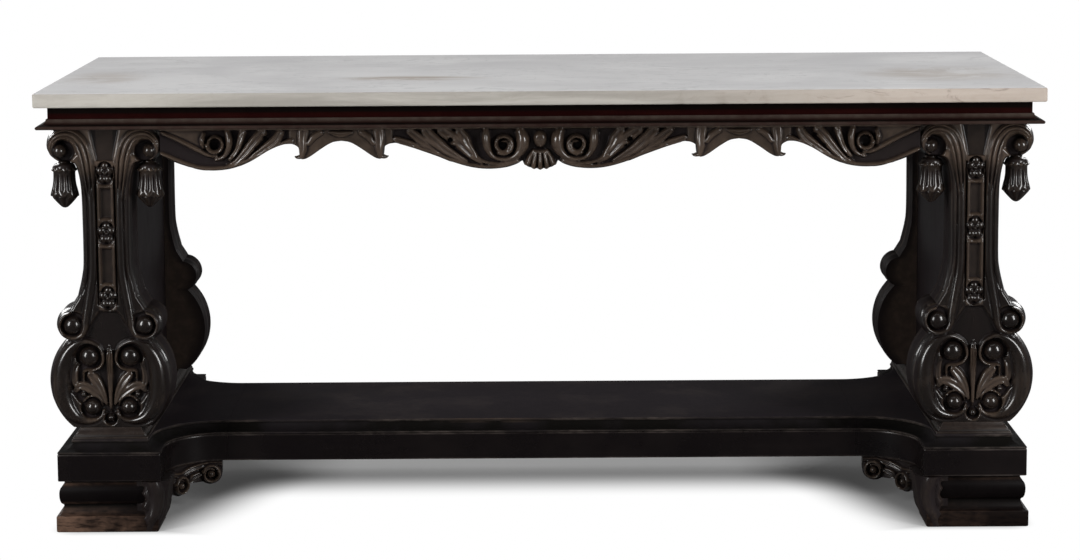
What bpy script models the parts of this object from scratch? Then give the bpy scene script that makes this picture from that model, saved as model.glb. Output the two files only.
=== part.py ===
"""Centre table: a loose marble slab on a moulded frame with carved aprons, two end supports and a low shelf.

Each end support is a pair of carved pilasters joined by a plain panel. The shelf platform stands on four
moulded feet. Metres, +Z up, +X along the table, origin on the floor under the middle of the table.
"""

import math

import bmesh
import bpy
from mathutils import Matrix, Vector

# Clearance between pieces that touch
FIT_GAP = 0.0003

# Marble slab
MARBLE_LENGTH = 1.83
MARBLE_DEPTH = 0.76
MARBLE_THICKNESS = 0.0265
MARBLE_EASE = 0.0035
MARBLE_OVERHANG = 0.023

# Frame under the slab
FRAME_HEIGHT = 0.0405
RAIL_THICKNESS = 0.045
END_BEARER_WIDTH = 0.080
CENTRE_BEARER_WIDTH = 0.060
CORNICE_PROJECTION = 0.020
CORNICE_HEIGHT = 0.0187
CORNICE_LIP = 0.0065

# End supports, measured from the frieze and from the top of the riser
SUPPORT_HEIGHT = 0.559
SUPPORT_INSET = 0.095
SUPPORT_SETBACK = 0.037
PILASTER_THICKNESS = 0.100
PILASTER_EDGE = 0.0035
WAIST_HALF = 0.0415
WAIST_BOTTOM = 0.312
WAIST_TOP = 0.412
SCROLL_RADIUS = 0.0307
SCROLL_OFFSET = 0.0725
SCROLL_DROP = 0.033
EAR_RADIUS = 0.028
EAR_OFFSET = 0.0655
EAR_RISE = 0.192
BOSS_RADIUS = 0.109
BOSS_RISE = 0.084
PANEL_HALF = 0.033
CLEAT_HEIGHT = 0.022
CLEAT_HALF = 0.052

# Carving on the pilasters
ROSETTE_HALF_WIDTH = 0.0170
ROSETTE_HALF_HEIGHT = 0.0210
ROSETTE_PROUD = 0.008
ROSETTE_RISES = (0.2415, 0.362, 0.473)
SUNK_PANEL_HALF = 0.015
SUNK_PANEL_DEPTH = 0.004
SUNK_PANEL_MARGIN = 0.006
EYE_RADIUS = 0.011
BAND_PROUD = 0.009
BAND_WIDTH = 0.032
BAND_END_WIDTH = 0.012
PALMETTE_RISE = 0.044
PALMETTE_LENGTH = 0.100
PALMETTE_PROUD = 0.007
LEAF_HALF_WIDTH = 0.0075

# Husk drops under the upper scrolls
HUSK_HEIGHT = 0.082
HUSK_RADIUS = 0.0245
HUSK_SETBACK = 0.030

# Aprons: sizes along the table from its middle, drops from the underside of the frame
APRON_THICKNESS = 0.030
APRON_SETBACK = 0.022
SHELL_HALF = 0.0325
SHELL_DROP = 0.082
SHELL_NOTCH_DROP = 0.066
BELLY_DROP = 0.0812
INNER_BELLY = 0.094
ARCH_CENTRE = 0.3627
ARCH_HALF = 0.0555
ARCH_DROP = 0.0275
CUSP_OFFSET = 0.0707
CUSP_DROP = 0.0613
CUSP_HOOK = 0.012
NOTCH_OFFSET = 0.0945
NOTCH_DROP = 0.0325
OUTER_BELLY_FROM_END = 0.092
APRON_END_DROP = 0.052
VOLUTE_RADIUS = 0.0175
VOLUTE_ROLL = 0.006
INNER_VOLUTE = 0.068
INNER_VOLUTE_DROP = 0.0385
OUTER_VOLUTE_FROM_END = 0.101
OUTER_VOLUTE_DROP = 0.030
CABOCHON_DROP = 0.026
CABOCHON_HALF_WIDTH = 0.014
CABOCHON_HALF_HEIGHT = 0.010
SHELL_PROUD = 0.012

# Riser, platform and plinths
RISER_HEIGHT = 0.020
RISER_INSET = 0.0135
SHELF_THICKNESS = 0.023
EDGE_INSET = 0.025
EDGE_BEAD = 0.004
EDGE_LIP = 0.005
EDGE_STEP = 0.002
BLOCK_HEIGHT = 0.0505
PLINTH_HALF_WIDTH = 0.0945
PLINTH_PROJECTION = 0.040
SHELF_HALF_DEPTH = 0.197
COVE_RADIUS = 0.100
COVE_FLAT = 0.006
PLATFORM_RAIL_THICKNESS = 0.028

# Feet and brackets
FOOT_HEIGHT = 0.0945
FOOT_DEPTH = 0.095
FOOT_INNER_INSET = 0.009
FOOT_SLAB_HEIGHT = 0.0305
FOOT_SLAB_PROUD = 0.004
FOOT_SCOTIA_HEIGHT = 0.044
FOOT_SCOTIA_INSET = 0.008
FOOT_TORUS_LOW = 0.0525
FOOT_TORUS_HIGH = 0.081
FOOT_TORUS_INSET = 0.0015
FOOT_NECK_INSET = 0.007
FOOT_NECK_HEIGHT = 0.005
BRACKET_THICKNESS = 0.030
BRACKET_INSET = 0.003
BRACKET_CLEARANCE = 0.0022
BRACKET_END = 87.0
BRACKET_BASE_DROP = 0.038
BRACKET_LOW_ANGLE = 39.0
BRACKET_LOW_DROP = 0.040
BRACKET_HIGH_ANGLE = 75.0
BRACKET_HIGH_DROP = 0.0252
BRACKET_LOBE_RADIUS = 0.0205

# Screws through the end bearers
SCREW_HEAD_RADIUS = 0.0050
SCREW_SHANK_RADIUS = 0.0027
SCREW_HEAD_HEIGHT = 0.0030
SCREW_LENGTH = 0.055
SCREW_OFFSET = 0.120

# Levels, each the top of the piece below
FOOT_TOP = FOOT_HEIGHT
BLOCK_TOP = FOOT_TOP + BLOCK_HEIGHT
SHELF_TOP = BLOCK_TOP + SHELF_THICKNESS
RISER_TOP = SHELF_TOP + RISER_HEIGHT
SUPPORT_TOP = RISER_TOP + SUPPORT_HEIGHT
FRAME_TOP = SUPPORT_TOP + FRAME_HEIGHT
TABLE_TOP = FRAME_TOP + MARBLE_THICKNESS

# Plan positions
FRIEZE_X = MARBLE_LENGTH / 2 - MARBLE_OVERHANG
FRIEZE_Y = MARBLE_DEPTH / 2 - MARBLE_OVERHANG
SUPPORT_X = FRIEZE_X - SUPPORT_INSET
PILASTER_FACE = FRIEZE_Y - SUPPORT_SETBACK
PILASTER_BACK = PILASTER_FACE - PILASTER_THICKNESS
PILASTER_MIDDLE = (PILASTER_FACE + PILASTER_BACK) / 2
PLINTH_Y = PILASTER_FACE + PLINTH_PROJECTION
COVE_Y = SHELF_HALF_DEPTH + COVE_RADIUS
PLINTH_INNER = SUPPORT_X - PLINTH_HALF_WIDTH
COVE_X = PLINTH_INNER - COVE_RADIUS
SHELF_JOINT = COVE_X - COVE_FLAT
FOOT_BACK = PLINTH_Y - FOOT_DEPTH - FOOT_SLAB_PROUD
FOOT_INNER = PLINTH_INNER + FOOT_INNER_INSET - FOOT_SLAB_PROUD
BRACKET_START = math.degrees(math.atan2(COVE_Y - FOOT_BACK + BRACKET_CLEARANCE, FOOT_INNER - COVE_X))
APRON_END = SUPPORT_X - SCROLL_OFFSET - SCROLL_RADIUS - FIT_GAP
APRON_FACE = FRIEZE_Y - APRON_SETBACK


def new_collection(name):
    """A collection linked to the scene."""
    collection = bpy.data.collections.new(name)
    bpy.context.scene.collection.children.link(collection)
    return collection


def make_material(name, colour, roughness, metallic=0.0):
    """A Principled material of one colour."""
    material = bpy.data.materials.new(name)
    material.use_nodes = True
    shader = material.node_tree.nodes["Principled BSDF"]
    shader.inputs["Base Color"].default_value = (*colour, 1.0)
    shader.inputs["Roughness"].default_value = roughness
    shader.inputs["Metallic"].default_value = metallic
    return material


def add(name, data, material, location=(0, 0, 0), rotation=(0, 0, 0)):
    """A finished piece in the table's collection."""
    piece = bpy.data.objects.new(name, data)
    piece.location = location
    piece.rotation_euler = rotation
    if not data.materials:
        data.materials.append(material)
    table.objects.link(piece)
    return piece


def add_guide(name, data, location=(0, 0, 0)):
    """A working shape that is cut from or joined to a piece."""
    guide = bpy.data.objects.new(name, data)
    guide.location = location
    guide.hide_render = True
    guide.display_type = "WIRE"
    guides.objects.link(guide)
    return guide


def evaluated(guide):
    """The guide's evaluated shape as a welded mesh; the guide is removed."""
    bpy.context.view_layer.update()
    shape = guide.evaluated_get(bpy.context.evaluated_depsgraph_get())
    mesh = bpy.data.meshes.new_from_object(shape)
    mesh.transform(guide.matrix_world)
    work = bmesh.new()
    work.from_mesh(mesh)
    bmesh.ops.remove_doubles(work, verts=work.verts, dist=0.000001)
    bmesh.ops.recalc_face_normals(work, faces=work.faces)
    work.to_mesh(mesh)
    work.free()
    bpy.data.objects.remove(guide)
    return mesh


def combine(base, shapes, operation):
    """One mesh from a base mesh and other meshes, each joined or cut in turn."""
    whole = add_guide("base", base)
    others = []
    for shape in shapes:
        other = add_guide("shape", shape)
        step = whole.modifiers.new("step", "BOOLEAN")
        step.operation = operation
        step.object = other
        others.append(other)
    mesh = evaluated(whole)
    for other in others:
        bpy.data.objects.remove(other)
    return mesh


def smooth(mesh, angle=40.0):
    """Smooth shading with edges kept sharp above the angle."""
    mesh.shade_smooth()
    mesh.set_sharp_from_angle(angle=math.radians(angle))
    return mesh


def finish(work, name):
    """A mesh from a working bmesh with its faces turned outward."""
    bmesh.ops.recalc_face_normals(work, faces=work.faces)
    mesh = bpy.data.meshes.new(name)
    work.to_mesh(mesh)
    work.free()
    return mesh


def box_mesh(name, size):
    """A box about its own centre."""
    work = bmesh.new()
    bmesh.ops.create_cube(work, size=1.0)
    bmesh.ops.scale(work, vec=Vector(size), verts=work.verts)
    return finish(work, name)


def add_box(name, low, high, material, bevel=0.0, segments=1):
    """A box between two corners, with its edges eased."""
    low = Vector(low)
    high = Vector(high)
    piece = add(name, box_mesh(name, high - low), material, (low + high) / 2)
    if bevel:
        ease = piece.modifiers.new("ease", "BEVEL")
        ease.width = bevel
        ease.segments = segments
    return piece


def loft_mesh(name, rings):
    """A closed solid through rings of points, one ring after another."""
    work = bmesh.new()
    loops = [[work.verts.new(point) for point in ring] for ring in rings]
    count = len(loops[0])
    for lower, upper in zip(loops, loops[1:]):
        for i in range(count):
            j = (i + 1) % count
            work.faces.new((lower[i], lower[j], upper[j], upper[i]))
    work.faces.new(loops[0])
    work.faces.new(loops[-1])
    return finish(work, name)


def rectangle_ring(half_x, half_y, z):
    """The four corners of a level rectangle."""
    return [(-half_x, -half_y, z), (half_x, -half_y, z), (half_x, half_y, z), (-half_x, half_y, z)]


def arc(centre_x, centre_y, radius, start, end, steps):
    """Points on an arc between two angles in degrees."""
    angles = [math.radians(start + (end - start) * i / steps) for i in range(steps + 1)]
    return [(centre_x + radius * math.cos(a), centre_y + radius * math.sin(a)) for a in angles]


def outline_mesh(points, thickness, edge, handles=None):
    """A flat outline with thickness along local Z, its edges rounded by the given size."""
    curve = bpy.data.curves.new("outline", "CURVE")
    curve.dimensions = "2D"
    curve.fill_mode = "BOTH"
    curve.extrude = thickness / 2 - edge
    curve.bevel_depth = edge
    curve.bevel_resolution = 0
    curve.offset = -edge
    if handles:
        curve.resolution_u = 2
        spline = curve.splines.new("BEZIER")
        spline.bezier_points.add(len(points) - 1)
        for knot, (x, y), handle in zip(spline.bezier_points, points, handles):
            knot.co = (x, y, 0)
            knot.handle_left_type = handle
            knot.handle_right_type = handle
    else:
        spline = curve.splines.new("POLY")
        spline.points.add(len(points) - 1)
        for knot, (x, y) in zip(spline.points, points):
            knot.co = (x, y, 0, 1)
    spline.use_cyclic_u = True
    return evaluated(add_guide("outline", curve))


def turned_mesh(name, profile, steps):
    """A solid turned about Z from a profile of radius and height, given from top to bottom."""
    work = bmesh.new()
    verts = [work.verts.new((radius, 0, z)) for radius, z in profile]
    for first, second in zip(verts, verts[1:]):
        work.edges.new((first, second))
    line = bpy.data.meshes.new(name)
    work.to_mesh(line)
    work.free()
    guide = add_guide(name, line)
    turn = guide.modifiers.new("turn", "SCREW")
    turn.steps = steps
    turn.render_steps = steps
    turn.use_merge_vertices = True
    turn.merge_threshold = 0.00001
    return evaluated(guide)


def dome_mesh(name, centre, half_sizes, segments, rings, tilt=0.0):
    """An ellipsoid on a carved face, turned by tilt degrees in the face."""
    work = bmesh.new()
    bmesh.ops.create_uvsphere(work, u_segments=segments, v_segments=rings, radius=1.0)
    place = Matrix.Translation(centre) @ Matrix.Rotation(math.radians(tilt), 4, "Z")
    work.transform(place @ Matrix.Diagonal((*half_sizes, 1.0)))
    return finish(work, name)


def ring_mesh(centre, radius, roll, segments=14, sides=6):
    """A torus lying in the carved face, from a closed circle with a round section."""
    work = bmesh.new()
    loops = []
    for i in range(segments):
        turn = 2 * math.pi * i / segments
        loop = []
        for j in range(sides):
            tip = 2 * math.pi * j / sides
            out = radius + roll * math.cos(tip)
            spot = (out * math.cos(turn), out * math.sin(turn), roll * math.sin(tip))
            loop.append(work.verts.new(Vector(centre) + Vector(spot)))
        loops.append(loop)
    for i in range(segments):
        for j in range(sides):
            near = loops[i]
            far = loops[(i + 1) % segments]
            k = (j + 1) % sides
            work.faces.new((near[j], far[j], far[k], near[k]))
    return finish(work, "ring")


def band_mesh(points, widths, proud, face):
    """A rounded band along points in the carved face, flattened to the height that it stands proud."""
    curve = bpy.data.curves.new("band", "CURVE")
    curve.dimensions = "3D"
    curve.bevel_depth = 1.0
    curve.bevel_resolution = 1
    curve.use_fill_caps = True
    spline = curve.splines.new("POLY")
    spline.points.add(len(points) - 1)
    for knot, (x, y), width in zip(spline.points, points, widths):
        knot.co = (x, y, 0, 1)
        knot.radius = width / 2
    mesh = evaluated(add_guide("band", curve))
    mesh.transform(Matrix.Diagonal((1, 1, 2 * proud / max(widths), 1)))
    mesh.transform(Matrix.Translation((0, 0, face)))
    return mesh


def pilaster_outline():
    """The pilaster's right half from the top of the upper scroll down to the base, then its mirror image."""
    scroll_y = SUPPORT_HEIGHT - SCROLL_DROP
    base = FIT_GAP
    top = SUPPORT_HEIGHT - FIT_GAP
    half = [(SCROLL_OFFSET + 0.2 * SCROLL_RADIUS, top)]
    half += arc(SCROLL_OFFSET, scroll_y, SCROLL_RADIUS, 62, -118, 12)
    throat_x, throat_y = half[-1]
    for out, down in ((0.45, 0.20), (0.15, 0.45)):
        half.append((WAIST_HALF + out * (throat_x - WAIST_HALF), throat_y - down * (throat_y - WAIST_TOP)))
    half.append((WAIST_HALF, WAIST_TOP))
    half.append((WAIST_HALF, WAIST_BOTTOM))
    ear_top = EAR_RISE + EAR_RADIUS
    flare = WAIST_BOTTOM - ear_top
    half.append((WAIST_HALF + 0.2 * (EAR_OFFSET - WAIST_HALF), WAIST_BOTTOM - 0.35 * flare))
    half.append((WAIST_HALF + 0.5 * (EAR_OFFSET - WAIST_HALF), WAIST_BOTTOM - 0.75 * flare))
    half += arc(EAR_OFFSET, EAR_RISE, EAR_RADIUS, 85, -62, 10)
    boss_start = math.degrees(math.asin((half[-1][1] - BOSS_RISE - 0.003) / BOSS_RADIUS))
    boss_end = math.degrees(math.asin((base - BOSS_RISE) / BOSS_RADIUS))
    half += arc(0.0, BOSS_RISE, BOSS_RADIUS, boss_start, boss_end, 16)
    return half + [(-x, y) for x, y in reversed(half)]


def scroll_band(side):
    """The path of one C-scroll on the boss: a small turn at the top eye, the outer sweep, a turn below."""
    eye_x = 0.36 * BOSS_RADIUS
    upper_y = BOSS_RISE + 0.565 * BOSS_RADIUS
    lower_y = BOSS_RISE - 0.36 * BOSS_RADIUS
    turn = 0.175 * BOSS_RADIUS
    sweep = BOSS_RADIUS - BAND_WIDTH / 2
    path = arc(eye_x, upper_y, turn, 200, 75, 4)
    path += arc(0.0, BOSS_RISE, sweep, 46, -46, 8)
    path += arc(eye_x, lower_y, turn, -75, -200, 4)
    widths = [BAND_END_WIDTH] * 5 + [BAND_WIDTH] * 9 + [BAND_END_WIDTH] * 5
    widths[5] = 0.7 * BAND_WIDTH
    widths[13] = 0.7 * BAND_WIDTH
    return [(side * x, y) for x, y in path], widths


def pilaster_mesh():
    """A carved pilaster: the outline, sunk panels cut in its face, then rosettes, eyes, bands and palmette."""
    face = PILASTER_THICKNESS / 2
    body = outline_mesh(pilaster_outline(), PILASTER_THICKNESS, PILASTER_EDGE)
    cuts = []
    for lower, upper in zip(ROSETTE_RISES, ROSETTE_RISES[1:]):
        low = lower + ROSETTE_HALF_HEIGHT + SUNK_PANEL_MARGIN
        high = upper - ROSETTE_HALF_HEIGHT - SUNK_PANEL_MARGIN
        cut = box_mesh("sunk panel", (2 * SUNK_PANEL_HALF, high - low, 2 * SUNK_PANEL_DEPTH))
        cut.transform(Matrix.Translation((0, (low + high) / 2, face)))
        cuts.append(cut)
    body = combine(body, cuts, "DIFFERENCE")
    raised = []
    for rise in ROSETTE_RISES:
        size = (ROSETTE_HALF_WIDTH, ROSETTE_HALF_HEIGHT, ROSETTE_PROUD)
        raised.append(dome_mesh("rosette", (0, rise, face), size, 12, 6))
    for side in (-1, 1):
        points, widths = scroll_band(side)
        raised.append(band_mesh(points, widths, BAND_PROUD, face))
        scroll_y = SUPPORT_HEIGHT - SCROLL_DROP - 0.4 * SCROLL_RADIUS
        spots = [(SCROLL_OFFSET - 0.1 * SCROLL_RADIUS, scroll_y), (EAR_OFFSET, EAR_RISE)]
        for x, y in spots:
            size = (EYE_RADIUS, EYE_RADIUS, EYE_RADIUS * 0.8)
            raised.append(dome_mesh("eye", (side * x, y, face), size, 10, 6))
        for tilt, length in ((16, 0.46), (34, 0.36)):
            lean = math.radians(tilt)
            half = length * PALMETTE_LENGTH
            centre = (side * half * math.sin(lean), PALMETTE_RISE + half * math.cos(lean), face)
            size = (LEAF_HALF_WIDTH, half, PALMETTE_PROUD)
            raised.append(dome_mesh("leaf", centre, size, 8, 6, -side * tilt))
    size = (LEAF_HALF_WIDTH, PALMETTE_LENGTH / 2, PALMETTE_PROUD)
    raised.append(dome_mesh("stem", (0, PALMETTE_RISE + PALMETTE_LENGTH / 2, face), size, 8, 6))
    return smooth(combine(body, raised, "UNION"))


def apron_outline():
    """Half of the apron's lower edge from the middle out, as knots with their handle types, then mirrored."""
    half = [
        (0.55 * SHELL_HALF, SHELL_DROP - 0.004, "AUTO"),
        (SHELL_HALF, SHELL_NOTCH_DROP, "VECTOR"),
        ((SHELL_HALF + INNER_BELLY) / 2, BELLY_DROP - 0.005, "AUTO"),
        (INNER_BELLY, BELLY_DROP, "AUTO"),
        (INNER_BELLY + 0.55 * (ARCH_CENTRE - NOTCH_OFFSET - INNER_BELLY), 0.68 * BELLY_DROP, "AUTO"),
    ]
    cusp = [
        (NOTCH_OFFSET, NOTCH_DROP, "AUTO"),
        (CUSP_OFFSET + 0.5 * CUSP_HOOK, NOTCH_DROP + 0.35 * (CUSP_DROP - NOTCH_DROP), "AUTO"),
        (CUSP_OFFSET + CUSP_HOOK, CUSP_DROP - 0.005, "VECTOR"),
        (CUSP_OFFSET, CUSP_DROP, "AUTO"),
        (ARCH_HALF, CUSP_DROP - 0.006, "AUTO"),
        (0.62 * ARCH_HALF, ARCH_DROP + 0.4 * (CUSP_DROP - ARCH_DROP), "AUTO"),
    ]
    half += [(ARCH_CENTRE - x, y, handle) for x, y, handle in cusp]
    half.append((ARCH_CENTRE, ARCH_DROP, "AUTO"))
    half += [(ARCH_CENTRE + x, y, handle) for x, y, handle in reversed(cusp)]
    start = ARCH_CENTRE + NOTCH_OFFSET
    low = APRON_END - OUTER_BELLY_FROM_END
    half.append((start + 0.5 * (low - start), 0.82 * BELLY_DROP, "AUTO"))
    half.append((low, BELLY_DROP, "AUTO"))
    half.append((APRON_END - 0.3 * OUTER_BELLY_FROM_END, 0.5 * (BELLY_DROP + APRON_END_DROP), "AUTO"))
    half.append((APRON_END, APRON_END_DROP, "VECTOR"))
    half.append((APRON_END, FIT_GAP, "VECTOR"))
    middle = [(0.0, SHELL_DROP, "AUTO")]
    return [(-x, -y, h) for x, y, h in reversed(half)] + [(x, -y, h) for x, y, h in middle + half]


def apron_mesh():
    """A carved apron board: the scrolled outline with volutes, a shell and an oval boss raised on its face."""
    knots = apron_outline()
    face = APRON_THICKNESS / 2
    body = outline_mesh([k[:2] for k in knots], APRON_THICKNESS, 0.0, [k[2] for k in knots])
    raised = []
    outer = APRON_END - OUTER_VOLUTE_FROM_END
    for x, drop in ((INNER_VOLUTE, INNER_VOLUTE_DROP), (outer, OUTER_VOLUTE_DROP)):
        for side in (-1, 1):
            spot = (side * x, -drop, face)
            raised.append(ring_mesh(spot, VOLUTE_RADIUS, VOLUTE_ROLL))
            size = (VOLUTE_ROLL, VOLUTE_ROLL, VOLUTE_ROLL)
            raised.append(dome_mesh("eye", spot, size, 8, 6))
    size = (CABOCHON_HALF_WIDTH, CABOCHON_HALF_HEIGHT, CABOCHON_HALF_HEIGHT)
    raised.append(dome_mesh("oval boss", (0, -CABOCHON_DROP, face), size, 12, 6))
    shell_half = (SHELL_DROP - CABOCHON_DROP - CABOCHON_HALF_HEIGHT) / 2
    centre = (0, -SHELL_DROP + shell_half + 0.002, face)
    raised.append(dome_mesh("shell", centre, (0.75 * SHELL_HALF, shell_half, SHELL_PROUD), 12, 6))
    return smooth(combine(body, raised, "UNION"))


def husk_mesh():
    """A hanging husk: a small collar, a swelling body and a leafy tip, turned about Z from its top."""
    shape = [(0, 0), (0.50, 0), (0.58, 0.05), (0.50, 0.11), (0.86, 0.22), (1.0, 0.42)]
    shape += [(0.90, 0.60), (0.98, 0.69), (0.66, 0.84), (0.14, 1.0), (0, 1.0)]
    return smooth(turned_mesh("husk", [(r * HUSK_RADIUS, -h * HUSK_HEIGHT) for r, h in shape], 12), 60)


def cornice_mesh(half_length):
    """A strip of cornice with mitred ends: out from the frieze along -Y, up from the frame's underside."""
    out = CORNICE_PROJECTION
    high = CORNICE_HEIGHT
    profile = [(0, 0), (0.65 * out, 0), (out, 0.5 * CORNICE_LIP), (out, CORNICE_LIP)]
    cove = high - CORNICE_LIP - 0.002
    for i in range(5):
        t = math.radians(22.5 * i)
        profile.append((0.80 * out - 0.66 * out * math.sin(t), high - 0.002 - cove * math.cos(t) * 0.9))
    profile += [(0.14 * out, high), (0, high)]
    rings = []
    for side in (-1, 1):
        rings.append([(side * (half_length + o - FIT_GAP / 2), -o - FIT_GAP, z) for o, z in profile])
    return loft_mesh("cornice", rings)


def edge_profile():
    """The shelf's moulded edge from bottom to top: bead, hollow and lip, as inset and height."""
    profile = [(0.0, FIT_GAP), (0.0, EDGE_BEAD)]
    rise = SHELF_THICKNESS - EDGE_LIP - EDGE_BEAD
    for i in range(5):
        t = math.radians(22.5 * i)
        inset = EDGE_STEP + (EDGE_INSET - EDGE_STEP) * math.sin(t)
        profile.append((inset, EDGE_BEAD + rise * (1 - math.cos(t))))
    profile += [(EDGE_INSET - EDGE_STEP, SHELF_THICKNESS - EDGE_LIP), (EDGE_INSET - EDGE_STEP, SHELF_THICKNESS)]
    return profile


def plinth_ring(inset, z):
    """The coved plan of the right-hand plinth at one height, drawn in by the inset."""
    outer = SUPPORT_X + PLINTH_HALF_WIDTH - inset
    inner = PLINTH_INNER + inset
    front = PLINTH_Y - inset
    half = [(outer, front), (inner, front)]
    half += arc(COVE_X, COVE_Y, COVE_RADIUS + inset, 0, -90, 7)
    half.append((SHELF_JOINT + FIT_GAP / 2, SHELF_HALF_DEPTH - inset))
    plan = half + [(x, -y) for x, y in reversed(half)]
    return [(x, y, z) for x, y in plan]


def foot_mesh():
    """A moulded foot standing on the floor: slab, hollow, roll, neck."""
    profile = [
        (FOOT_SLAB_PROUD - 0.002, 0.0),
        (FOOT_SLAB_PROUD, 0.003),
        (FOOT_SLAB_PROUD, FOOT_SLAB_HEIGHT - 0.003),
        (0.0, FOOT_SLAB_HEIGHT),
        (-0.6 * FOOT_SCOTIA_INSET, FOOT_SLAB_HEIGHT + 0.4 * (FOOT_SCOTIA_HEIGHT - FOOT_SLAB_HEIGHT)),
        (-FOOT_SCOTIA_INSET, FOOT_SCOTIA_HEIGHT),
        (-0.3 * FOOT_SCOTIA_INSET, FOOT_TORUS_LOW - 0.003),
        (-FOOT_TORUS_INSET, FOOT_TORUS_LOW),
        (-FOOT_TORUS_INSET, FOOT_TORUS_HIGH),
        (-FOOT_NECK_INSET, FOOT_TORUS_HIGH + 0.003),
        (-FOOT_NECK_INSET, FOOT_HEIGHT - FOOT_NECK_HEIGHT),
        (-0.002, FOOT_HEIGHT),
    ]
    half_width = PLINTH_HALF_WIDTH - FOOT_INNER_INSET / 2
    rings = [rectangle_ring(half_width + out, FOOT_DEPTH / 2 + out, z) for out, z in profile]
    return loft_mesh("foot", rings)


def bracket_drop(angle):
    """How far the bracket hangs below the platform at an angle round the cove: two round lobes and a web."""
    drop = BRACKET_BASE_DROP * (BRACKET_END - angle) / (BRACKET_END - BRACKET_START)
    for centre, hang in ((BRACKET_LOW_ANGLE, BRACKET_LOW_DROP), (BRACKET_HIGH_ANGLE, BRACKET_HIGH_DROP)):
        along = COVE_RADIUS * math.radians(angle - centre)
        if abs(along) < BRACKET_LOBE_RADIUS:
            drop = max(drop, hang + math.sqrt(BRACKET_LOBE_RADIUS**2 - along**2))
    return max(drop, BRACKET_HIGH_DROP)


def bracket_mesh(side):
    """A scroll bracket under the cove in front of the right-hand plinth; side -1 is its mirror image."""
    rings = []
    count = 24
    for i in range(count + 1):
        angle = BRACKET_START + (BRACKET_END - BRACKET_START) * i / count
        turn = math.radians(angle)
        low = FOOT_TOP - bracket_drop(angle)
        ring = []
        for deep, z in ((0, FOOT_TOP), (0, low), (1, low), (1, FOOT_TOP)):
            radius = COVE_RADIUS + BRACKET_INSET + deep * BRACKET_THICKNESS
            ring.append((side * (COVE_X + radius * math.cos(turn)), radius * math.sin(turn) - COVE_Y, z))
        rings.append(ring)
    return loft_mesh("bracket", rings)


def screw_mesh(clearance, extra):
    """A countersunk wood screw from its flat head down, or the hole that takes it."""
    head = SCREW_HEAD_RADIUS + clearance
    shank = SCREW_SHANK_RADIUS + clearance
    profile = [(0, extra), (head, extra), (head, 0), (shank, -SCREW_HEAD_HEIGHT)]
    profile += [(shank, 0.006 - SCREW_LENGTH - clearance), (0, -SCREW_LENGTH - clearance)]
    if extra == 0:
        profile.remove((head, extra))
    return smooth(turned_mesh("screw", profile, 12))


# Clear the scene
for old in list(bpy.data.objects):
    bpy.data.objects.remove(old, do_unlink=True)
table = new_collection("centre_table")
guides = new_collection("guides")

# Finishes
ebonised = make_material("ebonised_wood", (0.012, 0.010, 0.009), 0.38)
carved = make_material("carved_wood", (0.020, 0.016, 0.012), 0.45)
frieze = make_material("frieze_wood", (0.030, 0.014, 0.011), 0.40)
inner = make_material("inner_wood", (0.16, 0.09, 0.05), 0.70)
marble = make_material("marble", (0.50, 0.50, 0.49), 0.30)
steel = make_material("steel", (0.35, 0.34, 0.33), 0.45, 1.0)
HALF_TURN = math.pi

# Slab, frieze rails and bearers
half_x = MARBLE_LENGTH / 2
half_y = MARBLE_DEPTH / 2
low = (-half_x, -half_y, FRAME_TOP + FIT_GAP)
add_box("marble_top", low, (half_x, half_y, TABLE_TOP), marble, MARBLE_EASE, 2)
rail_y = FRIEZE_Y - RAIL_THICKNESS
rail_x = FRIEZE_X - RAIL_THICKNESS
bottom = SUPPORT_TOP + FIT_GAP
add_box("front_frieze_rail", (-FRIEZE_X, -FRIEZE_Y, bottom), (FRIEZE_X, -rail_y, FRAME_TOP), frieze, 0.001)
add_box("back_frieze_rail", (-FRIEZE_X, rail_y, bottom), (FRIEZE_X, FRIEZE_Y, FRAME_TOP), frieze, 0.001)
end_y = rail_y - FIT_GAP
add_box("left_frieze_rail", (-FRIEZE_X, -end_y, bottom), (-rail_x, end_y, FRAME_TOP), frieze, 0.001)
add_box("right_frieze_rail", (rail_x, -end_y, bottom), (FRIEZE_X, end_y, FRAME_TOP), frieze, 0.001)
half = CENTRE_BEARER_WIDTH / 2
add_box("centre_bearer", (-half, -end_y, bottom), (half, end_y, FRAME_TOP), inner, 0.001)

# Cornice strips round the frieze
long_strip = cornice_mesh(FRIEZE_X)
short_strip = cornice_mesh(FRIEZE_Y)
add("front_cornice", long_strip, frieze, (0, -FRIEZE_Y, bottom))
add("back_cornice", long_strip, frieze, (0, FRIEZE_Y, bottom), (0, 0, HALF_TURN))
add("left_cornice", short_strip, frieze, (-FRIEZE_X, 0, bottom), (0, 0, -HALF_TURN / 2))
add("right_cornice", short_strip, frieze, (FRIEZE_X, 0, bottom), (0, 0, HALF_TURN / 2))

# Aprons hang under the front and back rails
apron = apron_mesh()
apron_y = APRON_FACE - APRON_THICKNESS / 2
add("front_apron", apron, carved, (0, -apron_y, SUPPORT_TOP), (HALF_TURN / 2, 0, 0))
add("back_apron", apron, carved, (0, apron_y, SUPPORT_TOP), (HALF_TURN / 2, 0, HALF_TURN))

# Screws and the holes for them
screw = screw_mesh(0.0, 0.0)
screw_spots = [-SCREW_OFFSET, SCREW_OFFSET]
screw_top = FRAME_TOP - FIT_GAP


def bored_box(name, low, high, x, material):
    """A box with the two screw holes of one support through it."""
    low = Vector(low)
    high = Vector(high)
    body = box_mesh(name, high - low)
    body.transform(Matrix.Translation((low + high) / 2))
    holes = []
    for y in screw_spots:
        hole = screw_mesh(FIT_GAP, 0.02)
        hole.transform(Matrix.Translation((x, y, screw_top)))
        holes.append(hole)
    return add(name, combine(body, holes, "DIFFERENCE"), material)


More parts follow.
